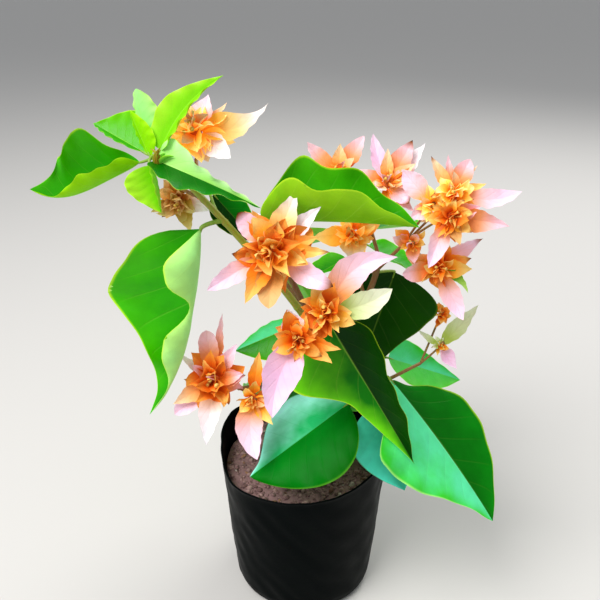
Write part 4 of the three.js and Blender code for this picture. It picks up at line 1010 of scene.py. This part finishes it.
HEADS = {
    "tip_blossom": grown_on("left_bough", 0.9, [
        rosette((-60, -9, 320), (-105, 35), 21, 26, 11, "amber honey peach",
            (9, 20, 43, 20, "sunny", {"sway": 0.12, "rise": 0.6, "fall": 1.6}),
            (-31, -26, 26, 15, "white", {"rise": 0.8, "fall": 0.95}), (51, 59, 22, 15, "pink"),
            (24, 38, 24, 6, "peach"), (123, 61, 17, 9, "peach"), (-71, -47, 19, 12, "honey"),
            (-9, -12, 23, 12, "amber")),
    ], [(-60, -12, 306)]),
    "faded_blossom": grown_on("left_bough", 0.88, [
        rosette((-72, -8, 283), (-80, -10), 19, 27, 12, "tan faded tan",
            (-25, -15, 21, 10, "white"), (-165, -25, 18, 9, "faded"), (-50, -60, 21, 10, "faded")),
    ], [(-70, -14, 290)]),
    "large_blossom": grown_on("centre_bough", 1, [
        rosette((-18, -54, 268), (-95, 15), 26, 31, 13, "orange deep golden",
            (34, 61, 35, 15, "sunny", {"fall": 1.4, "arch": -0.02}), (15, 39, 35, 12, "white"),
            (-9, 2, 31, 9, "golden"), (-4, 18, 26, 10, "orange"),
            (-25, -21, 38, 14, "pink", {"rise": 1.1, "fall": 0.9, "sway": 0.04}),
            (-153, -23, 39, 12, "pink", {"rise": 0.9, "fall": 0.9}), (-121, -40, 32, 13, "orange"),
            (-92, -50, 31, 16, "tan", {"fall": 0.7}), (163, 47, 26, 13, "pink", {"fall": 0.6}),
            (150, 62, 23, 12, "orange"), (-34, -4, 22, 10, "golden")),
    ], [(-16, -46, 262)]),
    "centre_blossom": grown_on("centre_bough", 0.55, [
        rosette((11, -62, 236), (-90, 25), 19, 23, 14, "deep orange golden",
            (18, 34, 48, 19, "pink", {"sway": -0.2, "rise": 0.7, "fall": 1.1}),
            (3, 21, 37, 16, "cream", {"sway": 0.08, "rise": 1.0, "fall": 1.0})),
        rosette((-4, -66, 223), (-90, 0), 18, 20, 15, "orange golden deep",
            (-122, -55, 44, 22, "lilac", {"sway": 0.08, "rise": 0.5, "fall": 0.9, "arch": 0.02}),
            (150, 70, 17, 14, "white"), (-32, -23, 23, 10, "orange"), (-15, -8, 24, 9, "orange"),
            (-160, 20, 14, 9, "golden")),
    ], [(3, -52, 225)]),
    "top_blossom": grown_on("right_bough", 1, [
        rosette((19, -6, 296), (-90, 60), 14, 8, 16, "orange coral golden",
            (162, 42, 25, 11, "coral", {"fold_left": 15, "fold_right": 15, "fall": 0.9}),
            (80, 75, 17, 9, "peach"), (32, 49, 26, 13, "coral", {"rise": 0.6, "fall": 0.9}),
            (-13, 49, 13, 9, "peach")),
        rosette((45, -14, 292), (-90, 50), 14, 9, 17, "orange coral peach",
            (116, 58, 30, 10, "lilac", {"fall": 1.0}), (82, 71, 20, 8, "peach"),
            (35, 51, 29, 14, "coral", {"fall": 1.0}), (8, 35, 20, 10, "peach"),
            (30, 38, 33, 14, "white"), (-3, 18, 20, 13, "pink"), (166, 27, 17, 9, "coral"),
            (-129, -2, 12, 9, "white"), (-35, -29, 17, 13, "pink", {"fall": 0.7}),
            (-22, -38, 22, 9, "coral")),
    ], [(39, -1, 262)]),
    "right_blossom": grown_on("right_bough", 0.92, [
        rosette((80, -26, 290), (-90, 35), 16, 20, 18, "amber golden peach",
            (-2, 3, 37, 12, "pink", {"sway": 0.08, "rise": 1.0, "fall": 1.0}),
            (143, 52, 24, 8, "peach"), (102, 62, 22, 6, "coral"),
            (45, 50, 22, 12, "coral", {"fall": 0.7}), (34, 38, 22, 4, "peach"),
            (13, 14, 20, 7, "golden")),
        rosette((77, -37, 281), (-90, 5), 16, 20, 31, "orange golden deep",
            (-8, -7, 32, 14, "coral", {"rise": 0.6, "fall": 1.2}), (-3, 20, 17, 11, "coral"),
            (-126, -47, 31, 12, "pink", {"rise": 0.9, "fall": 1.0}), (-66, -47, 17, 8, "tan"),
            (-42, -23, 15, 9, "golden")),
        rosette((69, -27, 284), (-100, 10), 14, 14, 32, "golden amber peach",
            (152, 44, 25, 14, "pink", {"rise": 1.0, "fall": 0.9}), (-166, -27, 14, 10, "pink")),
        rosette((77, -18, 244), (-90, 0), 16, 20, 19, "deep orange golden",
            (11, 31, 31, 12, "pink"), (-9, 20, 20, 13, "orange"), (60, 73, 19, 11, "orange"),
            (-20, 5, 20, 13, "golden"), (-53, -48, 34, 13, "pink", {"rise": 0.8, "fall": 0.9}),
            (-164, -4, 22, 14, "coral", {"fall": 0.7}), (180, 21, 20, 12, "peach"),
            (-28, -33, 23, 6, "green", {"sway": -0.15})),
        rosette((61, -17, 259), (-95, 0), 12, 11, 33, "orange golden coral",
            (-82, -48, 13, 9, "coral"), (162, 34, 12, 10, "orange")),
    ], [(58, -7, 254)]),
    "inner_blossom": grown_on("right_bough", 0.62, [
        rosette((28, -6, 260), (-90, 0), 16, 20, 20, "honey orange golden",
            (-169, -1, 24, 14, "honey"), (-88, -46, 18, 17, "sunny"), (2, 26, 20, 11, "orange"),
            (-46, -6, 14, 8, "golden")),
    ], [(30, -4, 246)]),
    "lower_left_blossom": grown_on("low_left_bough", 1, [
        rosette((-54, -40, 181), (-85, 30), 25, 26, 21, "deep orange coral",
            (75, 61, 40, 7, "coral"), (111, 68, 30, 13, "coral", {"rise": 0.8, "fall": 0.5}),
            (167, 36, 26, 6, "white"), (-156, -22, 27, 12, "peach"),
            (-154, -34, 30, 13, "pink", {"fall": 0.6}), (-100, -57, 38, 14, "white", {"arch": 0.05}),
            (-12, 17, 21, 12, "coral"), (28, 52, 26, 10, "pink")),
        rosette((-31, -42, 171), (-90, -10), 15, 14, 22, "orange golden peach",
            (-81, -58, 37, 18, "pink", {"sway": 0.1, "rise": 0.5, "fall": 0.8}),
            (70, 64, 27, 10, "orange"), (-45, -34, 21, 11, "golden")),
    ], [(-40, -35, 172)]),
    "small_blossom": grown_on("low_right_bough", 0.97, [
        rosette((86, -4, 184), (-90, 50), 8, 8, 23, "golden cream orange",
            (180, 40, 19, 5, "cream"), (10, 50, 36, 12, "cream"), (-30, -45, 18, 11, "lilac")),
        rosette((87, 6, 201), (-90, 50), 10, 14, 24, "orange deep golden"),
    ], [(74, -8, 174)]),
    "rear_blossom": grown_on("rear_bough", 1, [
        rosette((36, 52, 260), (80, 30), 19, 23, 25, "orange deep peach",
            (60, 30, 32, 15, "pink"), (130, 10, 30, 14, "peach"), (20, 50, 24, 12, "white")),
    ], [(36, 48, 238), (37, 50, 246)]),
    "rear_left_blossom": grown_on("rear_left_bough", 1, [
        rosette((-20, 42, 235), (110, 25), 18, 20, 26, "golden orange peach",
            (100, 20, 30, 15, "pink"), (150, 60, 24, 12, "white"), (60, -40, 30, 13, "peach")),
    ], [(-15, 37, 221)]),
    "low_rear_blossom": grown_on("low_rear_bough", 1, [
        rosette((27, 48, 178), (75, 20), 18, 20, 27, "orange deep golden",
            (60, 0, 32, 15, "pink"), (110, 40, 28, 13, "lilac"), (20, 30, 26, 12, "peach")),
    ], [(23, 39, 165)]),
}


def bract_row(head, outward, length, width, extra):
    """A bract leans out from the head's centre, with its upper face towards the way the head faces."""
    face = direction(*head["face"])
    azimuth = math.atan2(outward[1], outward[0]) / degree
    lift = math.asin(max(-1.0, min(1.0, outward[2]))) / degree
    level = np.array([math.sin(azimuth * degree), -math.cos(azimuth * degree), 0.0])
    upright = np.cross(level, outward)
    inner = ROOT_SHARE * CORE_SHARE * head["reach"]
    roll = math.atan2(-(face @ level), face @ upright) / degree
    return {
        **PLAIN_BRACT, **extra, "foot": head["centre"] + outward * inner, "azimuth": azimuth,
        "lift": lift, "roll": roll + extra.get("roll", 0), "length": length - inner, "width": width,
    }


def bract_surface(name, colours, dry):
    """Papery skin that fades from foot to tip, with faint veins; some have a dried dark tip. It
    glows faintly as painted light.
    """
    surface, tree, shader = new_surface("bract_" + name + ("_dry" if dry else ""), 0.62)
    lines = veined(tree, 5.0, 0.5, 0.14, 0.09, 0.1)
    fade = put(tree, "ValToRGB", {"Fac": lines["Along"]})
    ramp = fade.color_ramp
    stops = list(zip((0.18, 0.46, 0.8), colours)) + (DRY_STOPS if dry else [])
    while len(ramp.elements) < len(stops):
        ramp.elements.new(1.0)
    for element, (place, colour) in zip(ramp.elements, stops):
        element.position = place
        element.color = shade_of(*colour)
    drift = mottled(tree, fade.outputs[0], 0.35, 110.0)["Colour"]
    veins = sums(tree, "MAXIMUM", lines["Side Veins"], lines["Rib"])
    rib_colour = blend_colours(tree, 1.0, drift, (0.86, 0.72, 0.62, 1.0), "MULTIPLY")
    inked = blend_colours(tree, sums(tree, "MULTIPLY", veins, 0.22), drift, rib_colour)
    grains = put(tree, "TexVoronoi", {"Scale": 130.0})
    spot = sums(tree, "LESS_THAN", grains.outputs["Distance"], 0.07)
    chance = put(tree, "SeparateColor", {"Color": grains.outputs["Color"]}).outputs[0]
    speck = sums(tree, "MULTIPLY", spot, sums(tree, "GREATER_THAN", chance, 0.8))
    inked = blend_colours(tree, speck, inked, shade_of(96, 54, 30))
    height = sums(tree, "ADD", lines["Height"], grain(tree, 380.0, 3.0))
    # The emission is painted light shining through the bract, strongest on the amber and honey tones.
    feed(tree, shader, {
        "Specular IOR Level": 0.2,
        "Base Color": inked,
        "Emission Color": inked,
        "Emission Strength": BRACT_GLOW * (4.5 if name in GLOWING_TONES else 1.0),
        "Normal": bumped(tree, height, 0.35, 0.0004),
    })
    return surface


bract_surfaces = {
    (name, dry): bract_surface(name, colours, dry)
    for name, colours in BRACT_TONES.items() for dry in (False, True)
}
flower_stalks = []


def head_rows(head):
    """A head's long bracts and its crowded short ones: row, tone, whether it is dry, and grid."""
    draw = seeded_random(head["seed"])
    fold = seeded_random(head["seed"] + 100)
    face = direction(*head["face"])
    turn = head["face"][0] * degree
    level = np.array([-math.sin(turn), math.cos(turn), 0.0])
    upright = np.cross(face, level)
    rows = []
    for azimuth, lift, length, width, tone, *own in head["long"]:
        extra = {"wave": 0.012, "hook": 0.1 * (next(fold) - 0.5), "arch": -0.08, "fall": 1.25}
        extra.update(*own)
        row = bract_row(head, direction(azimuth, lift), length, width, extra)
        rows.append((row, tone, next(fold) < DRY_LONG, LONG_GRID))
    for k in range(head["count"]):
        share = (k + 0.5) / head["count"]
        polar = (POLAR_FIRST + POLAR_SPAN * share**0.8 + POLAR_STRAY * (next(fold) - 0.5)) * degree
        spin = (GOLDEN_ANGLE * k + 40 * next(draw)) * degree
        outward = face * math.cos(polar) + level * math.cos(spin) * math.sin(polar)
        outward = outward + upright * math.sin(spin) * math.sin(polar)
        length = head["reach"] * (0.5 + 0.22 * share + 0.28 * next(draw))
        inner = max(0.0, 1 - 1.6 * share)
        extra = {
            "arch": -0.14 + 0.3 * next(fold),
            "hook": 0.3 * (next(fold) - 0.5),
            "sway": 0.18 * (next(fold) - 0.5),
            "fold_left": 12 + (30 + 50 * inner) * next(fold),
            "fold_right": 12 + (30 + 50 * inner) * next(fold),
            "wave": 0.01 + 0.04 * next(fold) + 0.02 * inner,
            "waves": 1.0 + 1.2 * next(fold),
            "roll": 80 * (next(fold) - 0.5),
            "rise": 0.65,
            "fall": 0.85 + 0.6 * next(fold),
        }
        pick = next(fold) + 0.25 * (0.5 - share)
        tone = head["tones"][1 if pick < 0.25 else 0 if pick < 0.72 else 2]
        width = length * (0.5 + 0.28 * next(fold))
        row = bract_row(head, outward, length, width, extra)
        rows.append((row, tone, share > DRY_FROM and next(fold) < DRY_SHORT, SHORT_GRID))
    return rows


for name, mass in HEADS.items():
    stem = mass["stem"]
    flower_stalks.append((stem, FLOWER_STEM_RADII[: len(stem)]))
    bracts = []
    for row in mass["rows"]:
        bracts += head_rows(row)
        heading = unit(0.4 * direction(*row["face"]) + 0.6 * unit(row["centre"] - stem[-1]))
        line = stalk_line(stem[-1], row["centre"], heading)
        radii = np.interp(np.linspace(0, 1, len(line)), [0, 0.8, 1], [0.75, 0.65, 1.1])
        flower_stalks.append((line, radii))
    used = list(dict.fromkeys((tone, dry) for _, tone, dry, _ in bracts))
    sheaf = Sheaf(len(bracts))
    for row, tone, dry, grid in bracts:
        number = [used.index((tone, dry))] * 2
        sheaf.add_blade(row, grid, BRACT_THICKNESS, number, number)
    sheaf.piece(name + "_bracts", [bract_surfaces[key] for key in used], "blossom", [name])

# Stalks
# Green leaf stalks and thinner red-brown flower stalks, each rising from its limb or short stem
# and running into the foot of its leaf or the middle of its head.
petiole_skin = bark_surface("petiole_skin", (126, 168, 44), (150, 176, 70), 0.45, 0.0001)
peduncle_skin = bark_surface("peduncle_skin", (150, 92, 52), (150, 128, 60), 0.55, 0.0001)
for name, stalks, skin in (
    ("leaf_stalks", leaf_stalks, petiole_skin), ("flower_stalks", flower_stalks, peduncle_skin)
):
    add_piece(name, *joined([tube(line, radii, STALK_SIDES) for line, radii in stalks]), [skin], "shoot")

# Florets and buds
# Each head's bracts grow from a small firm core, coloured dark orange-brown as painted shade for
# the shaded middle of the head, and a few slender golden tubes stand among the inner ones. A tuft
# of tiny curled leaflets, ochre with down, closes the end of the long shoot.
FLORETS_A_HEAD = 4
CORE_FIT = 0.9
BUD_TUFT = (-77, -31, 306)
BUD_LEAFLETS = 12
BUD_SEED = 71
BUD_OCHRE = 7
BUD_GRID = (8, 3)
BUD_THICKNESS = 0.35


def floret(centre, face, reach, draw):
    """A tube from the head's centre that leans out and widens to a small mouth."""
    lean = np.array([next(draw) - 0.5 for _ in range(3)])
    heading = unit(face + 0.9 * lean)
    reached = reach * (0.38 + 0.14 * next(draw))
    t = np.linspace(0, 1, 9)
    line = centre + heading * reached * t[:, None] + lean * 2.0 * (t * t)[:, None]
    wide = np.interp(t, [0, 0.6, 0.9, 1], [0.5, 0.6, 0.8, 1.3]) * reach / 22
    return tube(line, wide, STALK_SIDES)


parts = []
for row in [row for mass in HEADS.values() for row in mass["rows"]]:
    centre, reach, draw = row["centre"], row["reach"], seeded_random(row["seed"] + 300)
    parts.append((centre + LUMP_POINTS * CORE_SHARE * reach * CORE_FIT, LUMP_FACES))
    parts += [floret(centre, direction(*row["face"]), reach, draw) for _ in range(FLORETS_A_HEAD)]
numbers = np.concatenate([[int(faces is LUMP_FACES)] * len(faces) for _, faces in parts])
# The dark orange-brown of the core is painted shade, the dark of a head's shaded middle.
floret_skins = [
    drifting_skin("golden_floret", (240, 196, 92), 0.5, 0.5, 300.0),
    drifting_skin("orange_core_shade", (206, 92, 14), 0.7, 0.5, 300.0),
]
add_piece("florets", *joined(parts), floret_skins, "blossom", (), numbers)

draw = seeded_random(BUD_SEED)
sheaf = Sheaf(BUD_LEAFLETS)
for k in range(BUD_LEAFLETS):
    size = 7 + 4 * next(draw)
    azimuth = 70 + 80 * math.sin(GOLDEN_ANGLE * k)
    row = leaf(BUD_TUFT, azimuth, 84 - 5 * k + 16 * next(draw), size, 0.42 * size, "bud bud under",
               fold_left=60, fold_right=60, arch=0.15, quilt=0.1, rib=0.1)
    kind = [0 if k < BUD_OCHRE else 1] * 2
    sheaf.add_blade(row, BUD_GRID, BUD_THICKNESS, kind, kind)
sheaf.piece("bud_tuft", [leaf_surfaces["bud"], leaf_surfaces["under"]], "leaf")
